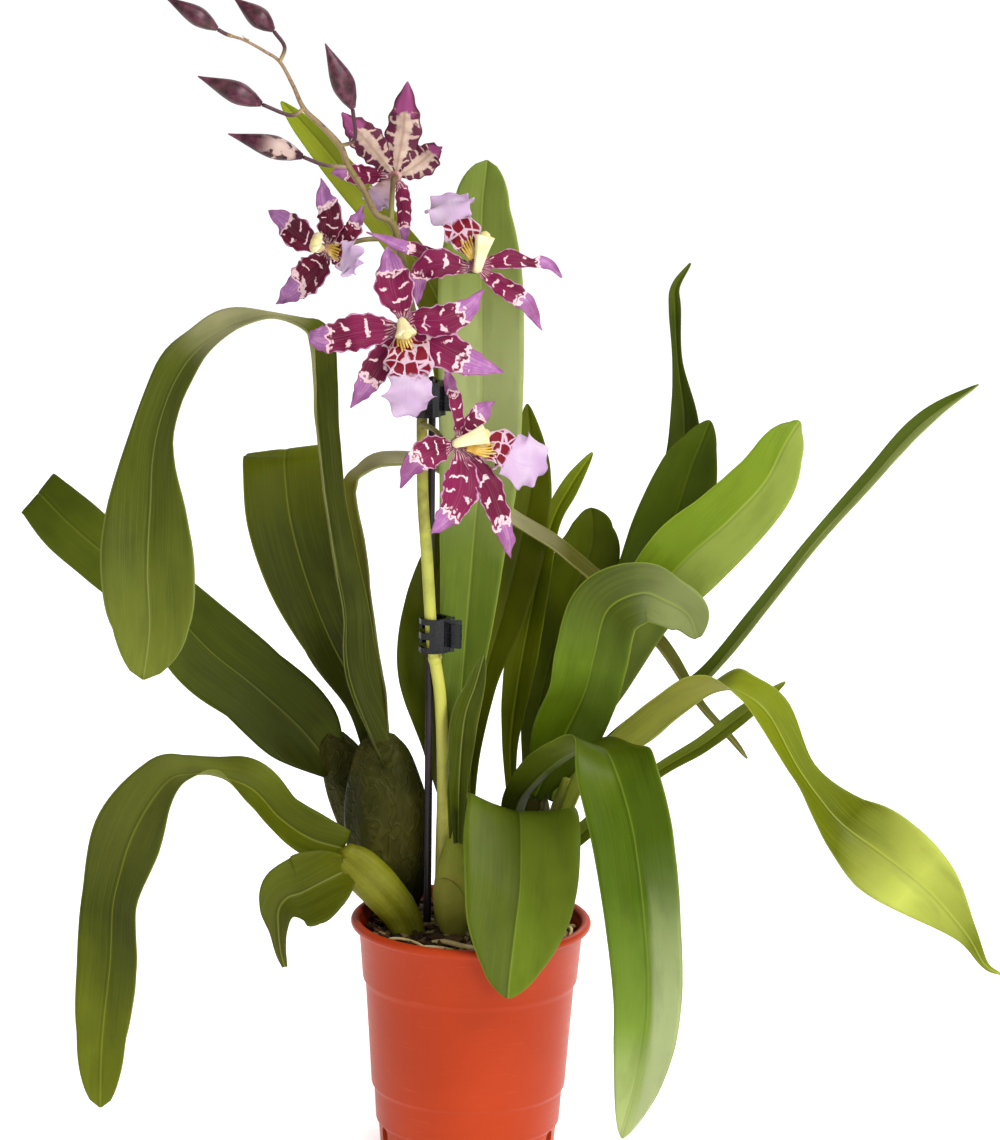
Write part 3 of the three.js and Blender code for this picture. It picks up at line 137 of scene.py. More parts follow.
# Leaves: the fold at the base and at the tip, and rows [x, y, z, half width, twist]
LEAVES = {
    "leaf_arch_left": ((50, 14), [
        (-45, 9, 191, 5, -59), (-62, 7, 235, 15.5, -50), (-65, 4, 273, 12, -52), (-73, 0, 317, 11, -60),
        (-78, -3, 357, 11.5, -62), (-80, -5, 384, 13, -64), (-82, -8, 405, 14, -70),
        (-86, -11, 413, 6, -84), (-101, -13, 418, 3.5, -90), (-118, -16, 414, 12.5, -92),
        (-132, -20, 405, 12, -84), (-143, -25, 393, 13, -76), (-154, -30, 365, 13, -70),
        (-157, -35, 329, 20.5, -52), (-158, -38, 298, 23.5, -34), (-157, -38, 270, 19, -30),
        (-160, -38, 244, 0.6, -26),
    ]),
    "leaf_folded_left": ((24, -4), [
        (-47, 27, 188, 4, -5), (-57, 29, 219, 6, -5), (-73, 28, 251, 14, -5), (-85, 26, 282, 19.5, -5),
        (-93, 24, 312, 21.5, -5), (-96, 24, 337, 20.5, 0), (-96, 28, 343, 20, 8), (-96, 34, 344, 18, 8),
        (-96, 40, 328, 16, 4), (-94, 44, 302, 9, -5), (-92, 46, 282, 0.6, -5),
    ]),
    "leaf_passing_behind": ((45, 20), [
        (-41, 17, 189, 3.5, 51), (-44, 20, 219, 9, 51), (-49, 21, 247, 8.5, 51),
        (-55, 20, 293, 7.5, 51), (-61, 18, 323, 5.5, 52), (-61, 18, 331, 7, 58), (-58, 19, 336, 6, 64),
        (-46, 23, 340, 9, 60), (-19, 29, 336, 8, 52), (16, 31, 311, 9, 50), (41, 31, 295, 9, 50),
        (65, 31, 275, 8.5, 48), (91, 28, 249, 8, 46), (111, 24, 222, 4, 40), (128, 20, 205, 2.2, 20),
        (136, 18, 196, 0.6, 0),
    ]),
    "leaf_far_left": ((30, -4), [
        (-71, 39, 181, 5, -13), (-88, 39, 202, 17, -13), (-112, 38, 224, 21, -13),
        (-134, 37, 242, 22, -13), (-159, 35, 269, 17, -13), (-185, 33, 290, 15.5, -13),
        (-203, 31, 306, 15.5, -13), (-216, 32, 319, 13, -13), (-218, 37, 319, 12.5, -13),
        (-203, 40, 308, 11, -13), (-189, 42, 293, 0.6, -13),
    ]),
    "leaf_arch_low_left": ((40, 14), [
        (-63, -13, 154, 6, -44), (-80, -16, 160, 10.5, -35), (-95, -22, 172, 12.5, -35),
        (-108, -31, 189, 13.5, -42), (-125, -34, 196, 13.5, -91), (-137, -37, 197, 13.5, -85),
        (-149, -41, 193, 15, -63), (-164, -45, 169, 19.5, -43), (-173, -47, 137, 16.5, -47),
        (-175, -48, 104, 16.5, -37), (-179, -48, 67, 12.5, -25), (-180, -48, 30, 0.6, -22),
    ]),
    "leaf_short_left": ((40, 20), [
        (-62, -20, 145, 6, -16), (-72, -25, 141, 14, -16), (-83, -29, 136, 20.5, -16),
        (-90, -32, 134, 17, -18), (-94, -33, 128, 10, -18), (-94, -33, 118, 5, -16),
        (-93, -31, 107, 3, -14), (-91, -29, 98, 1.5, -12),
    ]),
    "leaf_dark_behind_stake": ((40, 14), [
        (-12, 20, 165, 3.5, 0), (-17, 24, 198, 10, 0), (-23, 27, 236, 17, 0), (-22, 28, 269, 15, 0),
        (-16, 28, 300, 9, 0), (-10, 28, 320, 0.6, 0),
    ]),
    "leaf_tall_middle": ((45, 14), [
        (-9, -7, 159, 3.5, 0), (-9, -3, 183, 4.5, 0), (-6, 4, 204, 6, 0), (-7, 11, 225, 9, 0),
        (-6, 17, 246, 12.5, 0), (-3, 19, 294, 17, 0), (0, 20, 344, 21, 0), (0, 20, 394, 22, 0),
        (-1, 20, 438, 21, 0), (-1, 19, 470, 14, 0), (1, 19, 492, 0.6, 0),
    ]),
    "leaf_short_middle": ((45, 25), [
        (-7, -12, 158, 3, 0), (-7, -9, 190, 6, 0), (-5, -5, 219, 8, 0), (0, -4, 236, 5.5, 0),
        (4, -3, 251, 0.6, 0),
    ]),
    "leaf_tall_back": ((45, 20), [
        (-6, 26, 163, 3, 0), (-8, 38, 197, 5, 0), (-8, 45, 268, 10, 0), (-8, 45, 329, 12, 0),
        (-12, 44, 380, 12, 0), (-22, 40, 420, 11, 0), (-41, 35, 450, 9, 0), (-65, 29, 479, 8, 0),
        (-86, 25, 504, 6, 0), (-99, 22, 518, 0.6, 0),
    ]),
    "leaf_dark_middle": ((45, 14), [
        (-2, 24, 164, 3, 0), (-1, 32, 194, 5, 0), (4, 39, 229, 8, 0), (13, 43, 264, 13, 0),
        (21, 44, 300, 14, 0), (26, 43, 335, 10, 0), (23, 41, 369, 0.6, 0),
    ]),
    "leaf_narrow_middle": ((45, 20), [
        (19, 24, 171, 3, 0), (18, 34, 199, 5, 0), (22, 44, 233, 9, 0), (28, 49, 268, 8, 0),
        (36, 50, 306, 5, 0), (45, 49, 326, 5, 0), (56, 48, 344, 0.6, 0),
    ]),
    "leaf_rounded_middle": ((45, 14), [
        (27, 30, 169, 3, 0), (30, 44, 202, 8, 0), (37, 55, 236, 14, 0), (47, 60, 266, 17, 0),
        (56, 60, 291, 17, 0), (57, 59, 305, 11, 0), (56, 58, 314, 0.6, 0),
    ]),
    "leaf_hooked_right": ((45, 25), [
        (34, 36, 168, 3, 0), (46, 50, 195, 5, 0), (66, 64, 234, 9, 0), (86, 72, 286, 12.5, 0),
        (101, 74, 327, 12.5, 0), (102, 74, 358, 8, 0), (98, 73, 387, 3, 0), (96, 72, 413, 3.5, 0),
        (96, 71, 425, 2.5, 0), (103, 68, 437, 0.6, 0),
    ]),
    "leaf_broad_back_right": ((45, 14), [
        (38, 27, 170, 3, 4), (53, 38, 199, 6, 6), (65, 46, 233, 11, 8), (83, 50, 274, 17.5, 8),
        (97, 51, 309, 20, 8), (105, 51, 336, 15.5, 8), (110, 50, 350, 9, 8), (114, 50, 361, 0.6, 8),
    ]),
    "leaf_broad_right": ((40, 4), [
        (41, 19, 172, 3, 8), (53, 20, 206, 7, 8), (66, 19, 235, 12, 8), (84, 16, 274, 16.5, 8),
        (102, 13, 298, 20.5, 8), (122, 9, 318, 18.5, 8), (139, 6, 338, 16, 8), (147, 5, 355, 11.5, 8),
        (151, 7, 362, 8, 8), (154, 10, 366, 3.5, 8), (156, 13, 368, 0.6, 8),
    ]),
    "leaf_long_right": ((45, 30), [
        (46, 8, 176, 3, 61), (68, 8, 204, 5, 61), (96, 4, 223, 9, 50), (115, -1, 243, 5.5, 42),
        (138, -6, 275, 5, 38), (163, -11, 311, 4.5, 36), (189, -15, 344, 5, 36),
        (213, -18, 373, 5.5, 36), (239, -20, 393, 0.6, 61),
    ]),
    "leaf_arched_front_right": ((36, 10), [
        (30, 14, 174, 4, 4), (44, 6, 208, 17.5, 5), (54, -3, 234, 18.5, 6), (58, -9, 254, 19.5, 9),
        (64, -11, 277, 18.5, 10), (80, -8, 285, 15.5, 5), (92, -5, 281, 13, -5),
        (104, -1, 273, 10.5, -15), (109, 2, 261, 2, -20),
    ]),
    "leaf_twisted_right": ((40, 14), [
        (42, 2, 155, 4, 118), (58, -8, 193, 9, 130), (81, -17, 210, 16.5, 136),
        (100, -26, 229, 17.5, 134), (118, -32, 242, 20.5, 122), (130, -36, 242, 12, 92),
        (143, -40, 232, 11.5, 72), (159, -44, 205, 8, 72), (177, -48, 183, 15.5, 62),
        (197, -51, 169, 21.5, 42), (220, -53, 152, 17.5, 37), (240, -54, 130, 6, 32),
        (250, -54, 114, 2, 32), (258, -54, 109, 0.6, 32),
    ]),
    "leaf_narrow_right": ((40, 25), [
        (45, -4, 152, 4, 12), (59, -8, 168, 5.5, 12), (89, -14, 196, 4, 12), (112, -17, 212, 4.5, 12),
        (132, -19, 229, 4.5, 12), (151, -21, 245, 0.6, 12),
    ]),
    "leaf_drooping_front": ((24, 10), [
        (20, 4, 157, 5, 146), (23, -1, 178, 9, 146), (36, -18, 198, 14, 150), (51, -38, 213, 18, 146),
        (62, -55, 218, 18, 158), (69, -72, 210, 20, 118), (77, -83, 184, 20.5, 108),
        (83, -88, 144, 19, 107), (86, -91, 105, 17, 107), (83, -92, 70, 13, 104),
        (75, -92, 35, 0.6, 102),
    ]),
    "leaf_over_rim": ((18, 8), [
        (16, -6, 141, 6, 180), (20, -11, 158, 16, 180), (21, -18, 172, 25, 180),
        (23, -25, 177, 28, 168), (24, -37, 167, 29, 158), (24, -50, 148, 28, 158),
        (22, -60, 129, 24, 158), (20, -66, 110, 14, 158), (19, -70, 97, 0.6, 158),
    ]),
}

# Leaves: the colours of the upper face from base to tip, of the lower face, of the midrib, and the gloss

LEAF_COLOURS = {
    "leaf_arch_left": ("leaf_mid", ("363b00", "363b00", "3e4408", "5c6214", "4c5314", "454c0a", "666e22"),
                       "8f8b5a", "828a48", 0.42),
    "leaf_folded_left": ("leaf_mid", ("202400", "3a4000", "6a710a", "7a8022"), "6d7020", "85892c", 0.4),
    "leaf_passing_behind": ("leaf_brown", ("484a00", "55560a", "6a681e", "c0b890", "4a490c", "48480a",
                            "64622e"), "87854a", "929050", 0.45),
    "leaf_far_left": ("leaf_dark", ("333804", "3c4500", "404a00", "444c0c"), "4f5710", "6c7420", 0.4),
    "leaf_arch_low_left": ("leaf_mid", ("464c02", "424800", "585d20", "383e06", "5c640a"), "6a6e26", "7f8322",
                           0.42),
    "leaf_short_left": ("leaf_bright", ("4c5000", "3e4400", "40440a", "484a12"), "6e722c", "82843a", 0.4),
    "leaf_dark_behind_stake": ("leaf_dark", ("3a4000", "424800", "464c00"), "424802", "555b10", 0.42),
    # the fifth colour of leaf_tall_middle, 98a068, is a painted highlight: a pale band of glare
    "leaf_tall_middle": ("leaf_bright", ("4a5500", "50600a", "54661a", "5c6e20", "98a068", "6c7a34", "62722a"),
                         "737d2a", "8b9838", 0.4),
    "leaf_short_middle": ("leaf_bright", ("3c4400", "343c00", "3e480e"), "6a7222", "838a42", 0.3),
    "leaf_tall_back": ("leaf_bright", ("464f00", "5e6414", "787c20", "7a880c"), "818832", "98a336", 0.42),
    "leaf_dark_middle": ("leaf_dark", ("4c5200", "4a5000", "4a5000"), "535716", "5d6214", 0.42),
    "leaf_narrow_middle": ("leaf_mid", ("5c6600", "505800", "565e04", "606e10"), "666e20", "919816", 0.4),
    "leaf_rounded_middle": ("leaf_dark", ("404900", "454e00", "454e00"), "515910", "57600e", 0.42),
    "leaf_hooked_right": ("leaf_dark", ("2b3300", "303a00", "323c00"), "485106", "515b10", 0.38),
    "leaf_broad_back_right": ("leaf_dark", ("303a00", "384600", "3f4d00"), "505b0e", "5b660e", 0.38),
    "leaf_broad_right": ("leaf_bright", ("516400", "647906", "708516", "758812"), "839036", "94a536", 0.36),
    "leaf_long_right": ("leaf_dark", ("465100", "515f10", "647220", "515f06"), "737f2c", "86923e", 0.34),
    "leaf_arched_front_right": ("leaf_bright", ("424f00", "4c6004", "5c7218", "404a0e", "38420a", "4c5a14",
                                               "58661a"), "879042", "819030", 0.34),
    # the colour aab24c of leaf_twisted_right is a painted highlight band across the leaf
    "leaf_twisted_right": ("leaf_yellow", ("55600a", "6c7626", "7a7e2c", "7a8418", "626c00", "525a00", "aab24c",
                                           "646e0e", "868e28"), "7f7f2e", "9fa742", 0.3),
    "leaf_narrow_right": ("leaf_dark", ("424b00", "556008", "66721c"), "606a1c", "737d2a", 0.36),
    # the last two colours of leaf_drooping_front are paler as a painted highlight towards the tip
    "leaf_drooping_front": ("leaf_bright", ("363e00", "363e00", "3a4400", "3e5000", "405600", "6c842c",
                            "a4b070"), "48520c", "74862a", 0.26),
    "leaf_over_rim": ("leaf_mid", ("424d00", "606e10", "52600c", "4a5810"), "75812e", "7c8c30", 0.34),
}

# Painted light and painted shade on the two halves of a leaf, on either side of its midrib: one half is tinted
# as if it faced the lamps and the other as if it lay in shade
LEAF_LIT_AND_SHADED_HALVES = {
    "leaf_broad_right": ("647a18", "8a9848"),
    "leaf_over_rim": ("66781c", "485410"),
    "leaf_long_right": ("36420a", "a6b06a"),
}
BROAD_HEELS = {"leaf_arch_low_left": 0.6, "leaf_short_left": 0.6, "leaf_folded_left": 0.8, "leaf_far_left": 0.5,
               "leaf_tall_back": 0.4}
ROUND_TIPS = {"leaf_tall_middle": 0.8, "leaf_arch_left": 0.6, "leaf_arch_low_left": 0.9,
              "leaf_rounded_middle": 0.6}
# Painted highlights: pale stretches on a leaf's upper face that stand in for gloss, each with its colour, its
# side (0 for both), where it starts and is full, and where it ends
LEAF_PAINTED_HIGHLIGHTS = {
    "leaf_arch_left": ("a6a276", 0, 0.42, 0.5, 0.58),
    "leaf_arched_front_right": ("7c8450", 0, 0.52, 0.84, 1.2),
    "leaf_drooping_front": ("a4ae7c", -1, 0.6, 0.84, 1.2),
}

SPIKE_ROWS = [
    (-15, 4, 101, 3.3), (-15, 4, 149, 3.3), (-15, 3, 186, 3.1), (-17, 0, 228, 3),
    (-21.5, -3.5, 259, 2.9), (-24.5, -4.6, 299, 2.9), (-27, -5, 329, 2.8), (-28, -3.5, 364, 2.7),
    (-28, -3, 380, 2.6), (-30, -5, 403, 2.5), (-35, -13, 428, 2.4), (-39, -19, 450, 2.2),
    (-43, -21, 465, 2.1), (-51, -23, 470, 2), (-57, -26, 482, 2), (-64, -29, 493, 1.9),
    (-68, -32, 503, 1.9), (-77, -35, 513, 1.7), (-85, -38, 521, 1.6), (-90, -41, 532, 1.4),
    (-96, -44, 543, 1.3), (-103, -46, 548, 1.2), (-112, -48, 553, 1.1), (-118, -49, 555, 1.2),
]
SPIKE_NODES = (0.16, 0.38)
NODE_SWELLS = ((-2.2, 1), (-0.6, 1.12), (0.6, 1.14), (2.2, 1))

# Bracts: the share of the spike, the turn in degrees and the length
BRACTS = ((0.16, 200, 8), (0.38, 20, 7), (0.95, 200, 4))

# Buds: the tip, the radius and the stalk
BUDS = {
    "bud_end": ((-149, -54, 573), 4.5, [(-118, -49, 555), (-121, -49, 556), (-124.5, -50, 558)]),
    "bud_upper": ((-118, -40, 572), 5, [(-96, -44, 543), (-94, -43, 550), (-99, -42, 557)]),
    "bud_left": ((-134, -48, 536), 5.3, [(-85, -38, 521), (-91, -41, 518), (-104, -44, 523)]),
    "bud_lower": ((-120, -44, 509), 5.5, [(-64, -29, 493), (-75, -33, 494), (-85, -37, 498)]),
    "bud_upright": ((-75, -44, 552), 5.5, [(-68, -32, 503), (-61, -36, 507), (-62, -39, 521)]),
}
BUD_SWELLS = (
    (0, 0.26), (0.08, 0.5), (0.16, 0.72), (0.34, 1), (0.52, 0.9), (0.74, 0.52), (0.9, 0.22), (1, 0.06),
)

# Blooms: rows [x, y, z, half width]; a turned tepal has the front's colours on both faces
BLOOMS = {
    "bloom_back_view": {
        "centre": (-42, -14, 487), "facing": (0.1, 0.98, 0.05),
        "stalk_from": (-44, -21, 467), "column_tip": (-44, -4, 491), "turned": (3, 4),
        "tepals": [
            [(-41, -14, 495, 5.2), (-39, -12, 507, 7.9), (-38, -15, 520, 5.5), (-37, -21, 533, 0.3)],
            [(-36, -14, 490, 4.8), (-29, -13, 495, 7.1), (-24, -16, 500, 3.8), (-20, -20, 502, 0.3)],
            [(-48, -13, 494, 4.8), (-55, -11, 502, 7.4), (-62, -13, 510, 5.2), (-68, -17, 517, 0.3)],
            [(-51, -12, 487, 3.3), (-60, -10, 487, 4.5), (-67, -11, 488, 3.3), (-73, -13, 488, 0.3)],
            [(-39, -14, 480, 3.1), (-38, -12, 470, 3.3), (-38, -13, 461, 2.6), (-37, -16, 455, 0.3)],
        ],
        "lip": [
            (-47, -9, 481, 4.3), (-50, -5, 476, 6.7), (-50, -2, 472, 6.2), (-50, -3, 469, 2.9),
        ],
    },
    "bloom_left": {
        "centre": (-73, -44, 456), "facing": (-0.45, -0.88, 0.1),
        "stalk_from": (-41, -20, 458), "column_tip": (-78, -53, 460),
        "tepals": [
            [(-80, -41, 458, 4.3), (-87, -38, 462, 7.1), (-94, -32, 467, 4.8), (-102, -24, 471, 0.3)],
            [(-72, -45, 463, 5.2), (-71, -45, 471, 6.2), (-74, -41, 478, 4.8), (-77, -34, 488, 0.3)],
            [(-68, -46, 460, 2.4), (-62, -49, 464, 4.3), (-59, -48, 470, 3.3), (-56, -47, 477, 0.3)],
            [(-75, -44, 451, 4.8), (-80, -44, 444, 8.1), (-88, -39, 436, 5.7), (-98, -30, 427, 0.3)],
            [(-70, -44, 453, 2.4), (-67, -42, 450, 3.3), (-64, -39, 447, 2.4), (-63, -36, 444, 0.3)],
        ],
        "lip": [
            (-68, -54, 456, 4.3), (-65, -61, 455, 7.1), (-61, -66, 453, 8.1), (-59, -69, 450, 4.3),
        ],
    },
    "bloom_lip_up": {
        "centre": (-3, -32, 447), "facing": (0.05, -0.93, 0.35),
        "stalk_from": (-37, -17, 440), "column_tip": (1, -35, 462),
        "tepals": [
            [(4, -33, 449, 2.9), (14, -33, 451, 4.3), (23, -31, 449, 2.1), (30, -28, 449, 2.9),
             (38, -27, 442, 0.3)],
            [(4, -35, 442, 3.3), (12, -38, 437, 4.5), (21, -39, 431, 4), (29, -38, 418, 0.3)],
            [(-10, -34, 447, 3.3), (-20, -37, 449, 6.7), (-28, -37, 445, 5.2), (-30, -39, 437, 2.9),
             (-30, -42, 429, 0.3)],
            [(-10, -30, 448, 1.9), (-25, -27, 452, 2.9), (-38, -31, 456, 2.9), (-55, -35, 463, 0.3)],
            [(-5, -27, 451, 2.4), (-8, -22, 457, 2.9), (-12, -17, 464, 2.4), (-15, -14, 471, 0.3)],
        ],
        "lip": [
            (-6, -32, 455, 4.3), (-9, -32, 462, 8.6), (-13, -29, 468, 7.6), (-16, -24, 474, 11.4),
            (-17, -19, 477, 10), (-17, -16, 480, 4.8),
        ],
    },
    "bloom_front": {
        "centre": (-37, -48, 421), "facing": (0, -0.99, 0.1),
        "stalk_from": (-32, -9, 416), "column_tip": (-35, -58, 418),
        "tepals": [
            [(-38, -48, 429, 4.8), (-41, -49, 439, 8.6), (-43, -45, 448, 5.7), (-45, -39, 457, 0.3)],
            [(-30, -49, 423, 5.2), (-18, -51, 424, 7.1), (-7, -48, 429, 4.8), (1, -43, 438, 0.3)],
            [(-30, -49, 416, 5.7), (-17, -52, 410, 8.3), (-4, -51, 404, 5.7), (11, -46, 399, 0.3)],
            [(-45, -49, 419, 5.2), (-57, -51, 418, 8.1), (-68, -51, 415, 6.7), (-76, -49, 414, 5.2),
             (-81, -45, 416, 1)],
            [(-41, -49, 413, 3.8), (-47, -51, 404, 6.2), (-54, -51, 392, 4.8), (-61, -49, 381, 0.3)],
        ],
        "lip": [
            (-36, -54, 414, 6.7), (-34, -58, 409, 11), (-33, -60, 402, 10.5), (-33, -60, 395, 9.5),
            (-33, -57, 388, 12.4), (-32, -55, 382, 8.6), (-30, -53, 378, 2.4),
        ],
    },
    "bloom_right": {
        "centre": (-11, -40, 363), "facing": (0.5, -0.85, 0.15),
        "stalk_from": (-28, -5, 366), "column_tip": (3, -40, 368),
        "tepals": [
            [(-10, -39, 371, 2.4), (-11, -41, 381, 3.1), (-14, -39, 390, 3.1), (-16, -36, 397, 1.4)],
            [(-7, -37, 367, 2.9), (-4, -35, 372, 4.8), (1, -30, 377, 4.3), (7, -23, 381, 0.3)],
            [(-17, -46, 362, 4.8), (-24, -53, 361, 7.1), (-31, -57, 356, 5.2), (-37, -55, 344, 0.3)],
            [(-9, -42, 355, 5.2), (-9, -45, 344, 9.5), (-12, -48, 334, 7.1), (-17, -50, 327, 4.3),
             (-22, -50, 321, 0.3)],
            [(-4, -39, 355, 3.8), (4, -38, 343, 6.2), (9, -37, 330, 5.7), (14, -34, 316, 3.8),
             (16, -31, 306, 0.3)],
        ],
        "lip": [
            (2, -38, 360, 4.3), (9, -38, 361, 9.5), (14, -35, 358, 9), (20, -31, 354, 12.9),
            (27, -26, 352, 11.9), (33, -20, 348, 3.8),
        ],
    },
}

# Ridges of the crest: how far beside the middle, how high and how many stations long
CREST_RIDGES = ((-2.6, 0.8, 9), (-1.5, 1.3, 12), (-0.5, 1.7, 11), (0.5, 1.7, 11), (1.5, 1.3, 12), (2.6, 0.8, 9))
BLOOM_SKINS = {
    "crest_yellow": (("a87c24", "c8a040", "e0d090"), 220.0),
    "column_cream": (("c8b470", "dccf9a", "e8dfbe"), 120.0),
    "column_cap": (("c2ae5c", "d2c48a", "ddd2a6"), 200.0),
    "hub_skin": (("7a3040", "a87474", "c8a89c"), 300.0),
}

FLOOR_RADIUS = 30000.0

# Lamps and camera, in metres; a lamp has its place, its size and its power
LAMP_AIM = (0, 0, 0.28)
LAMPS = {
    "key": ((1.3, -1.1, 1.9), 0.8, 42.0),
    "front": ((1.1, -2.0, 0.55), 0.7, 14.0),
    "fill": ((-1.8, -1.6, 1.1), 1.2, 3.0),
    "back": ((0.6, 1.6, 1.6), 1.4, 14.0),
}
CAMERA_PLACE, CAMERA_PITCH, CAMERA_ROLL = (0.01113, -2.0, 0.72084), 12.063, 1.1
CAMERA_LENS, CAMERA_SENSOR, CAMERA_REACH = 132.04, 36, 200


# Curves, tubes and blades

def unit(vectors):
    return vectors / np.linalg.norm(vectors, axis=-1, keepdims=True)


def ease(value, low, high):
    x = np.clip((value - low) / (high - low), 0, 1)
    return x * x * (3 - 2 * x)


def circle(count):
    return 2 * np.pi * np.arange(count) / count


def curve(rows, t):
    """Smooth values through rows of numbers at the parameters t, from 0 to 1."""
    rows = np.asarray(rows, float)
    padded = np.vstack([2 * rows[0] - rows[1], rows, 2 * rows[-1] - rows[-2]])
    place = np.clip(t, 0, 1) * (len(rows) - 1)
    first = np.minimum(place.astype(int), len(rows) - 2)
    w = (place - first)[:, None]
    a, b, c, d = (padded[first + k] for k in range(4))
    return 0.5 * (2 * b + (c - a) * w + (2 * a - 5 * b + 4 * c - d) * w**2 + (3 * b - a - 3 * c + d) * w**3)


def frames_along(rows, stations, facing):
    """Point, tangent, side and normal at even stations; the side turns as little as it can."""
    t = np.linspace(0, 1, (stations - 1) * FRAME_STEPS + 1)
    tangents = unit(curve(rows, t + CURVE_STEP) - curve(rows, t - CURVE_STEP))
    side = unit(np.cross(tangents[0], facing))
    sides = []
    for tangent in tangents:
        side = unit(side - tangent * (side @ tangent))
        sides.append(side)
    sides, tangents = np.array(sides)[::FRAME_STEPS], tangents[::FRAME_STEPS]
    return curve(rows, t[::FRAME_STEPS]), tangents, sides, np.cross(sides, tangents)


def lengths_along(points):
    return np.concatenate([[0], np.cumsum(np.linalg.norm(np.diff(points, axis=0), axis=1))])


def pairs(first, second):
    return np.stack(np.broadcast_arrays(first, second), -1)


def grid_faces(rows, columns, wrap=False):
    """Four-cornered faces over a grid of points that is numbered row by row."""
    i, j = np.mgrid[0:rows - 1, 0:columns if wrap else columns - 1]
    a, b = i * columns + j, i * columns + (j + 1) % columns
    return np.stack([a, b, b + columns, a + columns], -1).reshape(-1, 4)


class Shell:
    """Closed surfaces gathered for one piece, with a UV map of shares and one of millimetres."""

    def __init__(self):
        self.points, self.uv, self.size, self.faces, self.slots = [], [], [], [], []
        self.count = 0

    def add(self, points, faces, uv=None, size=None, slot=0):
        """faces is a list of arrays of corner numbers, and slot the material of each array or of all."""
        points = np.asarray(points, float).reshape(-1, 3)
        uv = np.zeros((len(points), 2)) if uv is None else np.asarray(uv, float).reshape(-1, 2)
        self.points.append(points)
        self.uv.append(uv)
        self.size.append(uv if size is None else np.asarray(size, float).reshape(-1, 2))
        slots = slot if isinstance(slot, list) else [slot] * len(faces)
        for group, number in zip(faces, slots):
            self.faces.append(np.asarray(group) + self.count)
            self.slots.append(np.full(len(group), number))
        self.count += len(points)

    def corner_shares(self):
        """Shares at face corners; across the seam of a tube the first share counts on past 1."""
        values = np.concatenate(self.uv)
        corners = []
        for group in self.faces:
            found = values[group].copy()
            across = found[..., 0]
            top = across.max(1, keepdims=True)
            torn = (top - across.min(1, keepdims=True) > 0.5) & (top <= 1)
            found[..., 0] = np.where(torn & (across < 0.5), across + 1, across)
            corners.append(found.reshape(-1, 2))
        return np.concatenate(corners)

    def build(self, name, materials):
        mesh = bpy.data.meshes.new(name)
        faces = [face for group in self.faces for face in group.tolist()]
        mesh.from_pydata((np.concatenate(self.points) * MM).tolist(), [], faces)
        mesh.polygons.foreach_set("material_index", np.concatenate(self.slots).astype(np.int32))
        sizes = np.concatenate(self.size)
        sizes = np.concatenate([sizes[group].reshape(-1, 2) for group in self.faces])
        for layer, values in (("share", self.corner_shares()), ("size", sizes)):
            mesh.uv_layers.new(name=layer).data.foreach_set("uv", values.astype(np.float32).ravel())
        mesh.shade_smooth()
        for material in materials:
            mesh.materials.append(material)
        piece = bpy.data.objects.new(name, mesh)
        bpy.context.scene.collection.objects.link(piece)
        return piece


def ride(piece, slot, *nodes):
    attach(piece, "plant")
    if nodes:
        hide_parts(*nodes)


def add_slab(shell, front, back, shares, sizes, slots):
    """A thin closed sheet between two grids of points; slots are those of its front and of the rest."""
    stations, across = front.shape[:2]
    total = stations * across
    grid = grid_faces(stations, across)
    i, j = np.arange(stations - 1) * across, np.arange(across - 1)
    right, last = i + across - 1, (stations - 1) * across + j
    rims = [
        np.stack([i, i + across, total + i + across, total + i], -1),
        np.stack([right, total + right, total + right + across, right + across], -1),
        np.stack([j, total + j, total + j + 1, j + 1], -1),
        np.stack([last, last + 1, total + last + 1, total + last], -1),
    ]
    shell.add(np.stack([front, back]), [grid, grid[:, ::-1] + total, *rims], np.stack([shares, shares]),
              np.stack([sizes, sizes]), [slots[0]] + [slots[1]] * 5)


def add_rings(shell, rings, tips, shares=None, sizes=None, slot=0):
    """A closed surface over a row of rings, with a tip in the middle of each end."""
    stations, sides = rings.shape[:2]
    first = np.arange(sides)
    after, last, tip = (first + 1) % sides, (stations - 1) * sides, np.full(sides, stations * sides)
    caps = [np.stack([tip, after, first], -1), np.stack([tip + 1, last + first, last + after], -1)]
    shell.add(np.vstack([rings.reshape(-1, 3), tips]), [grid_faces(stations, sides, wrap=True), *caps],
              shares, sizes, slot)


def turned(radii, heights, sides):
    """Rings round Z, one for each radius and its height."""
    angle = circle(sides)
    rings = [radii[:, None] * np.cos(angle), radii[:, None] * np.sin(angle), heights[:, None]]
    return np.stack(np.broadcast_arrays(*rings), -1)


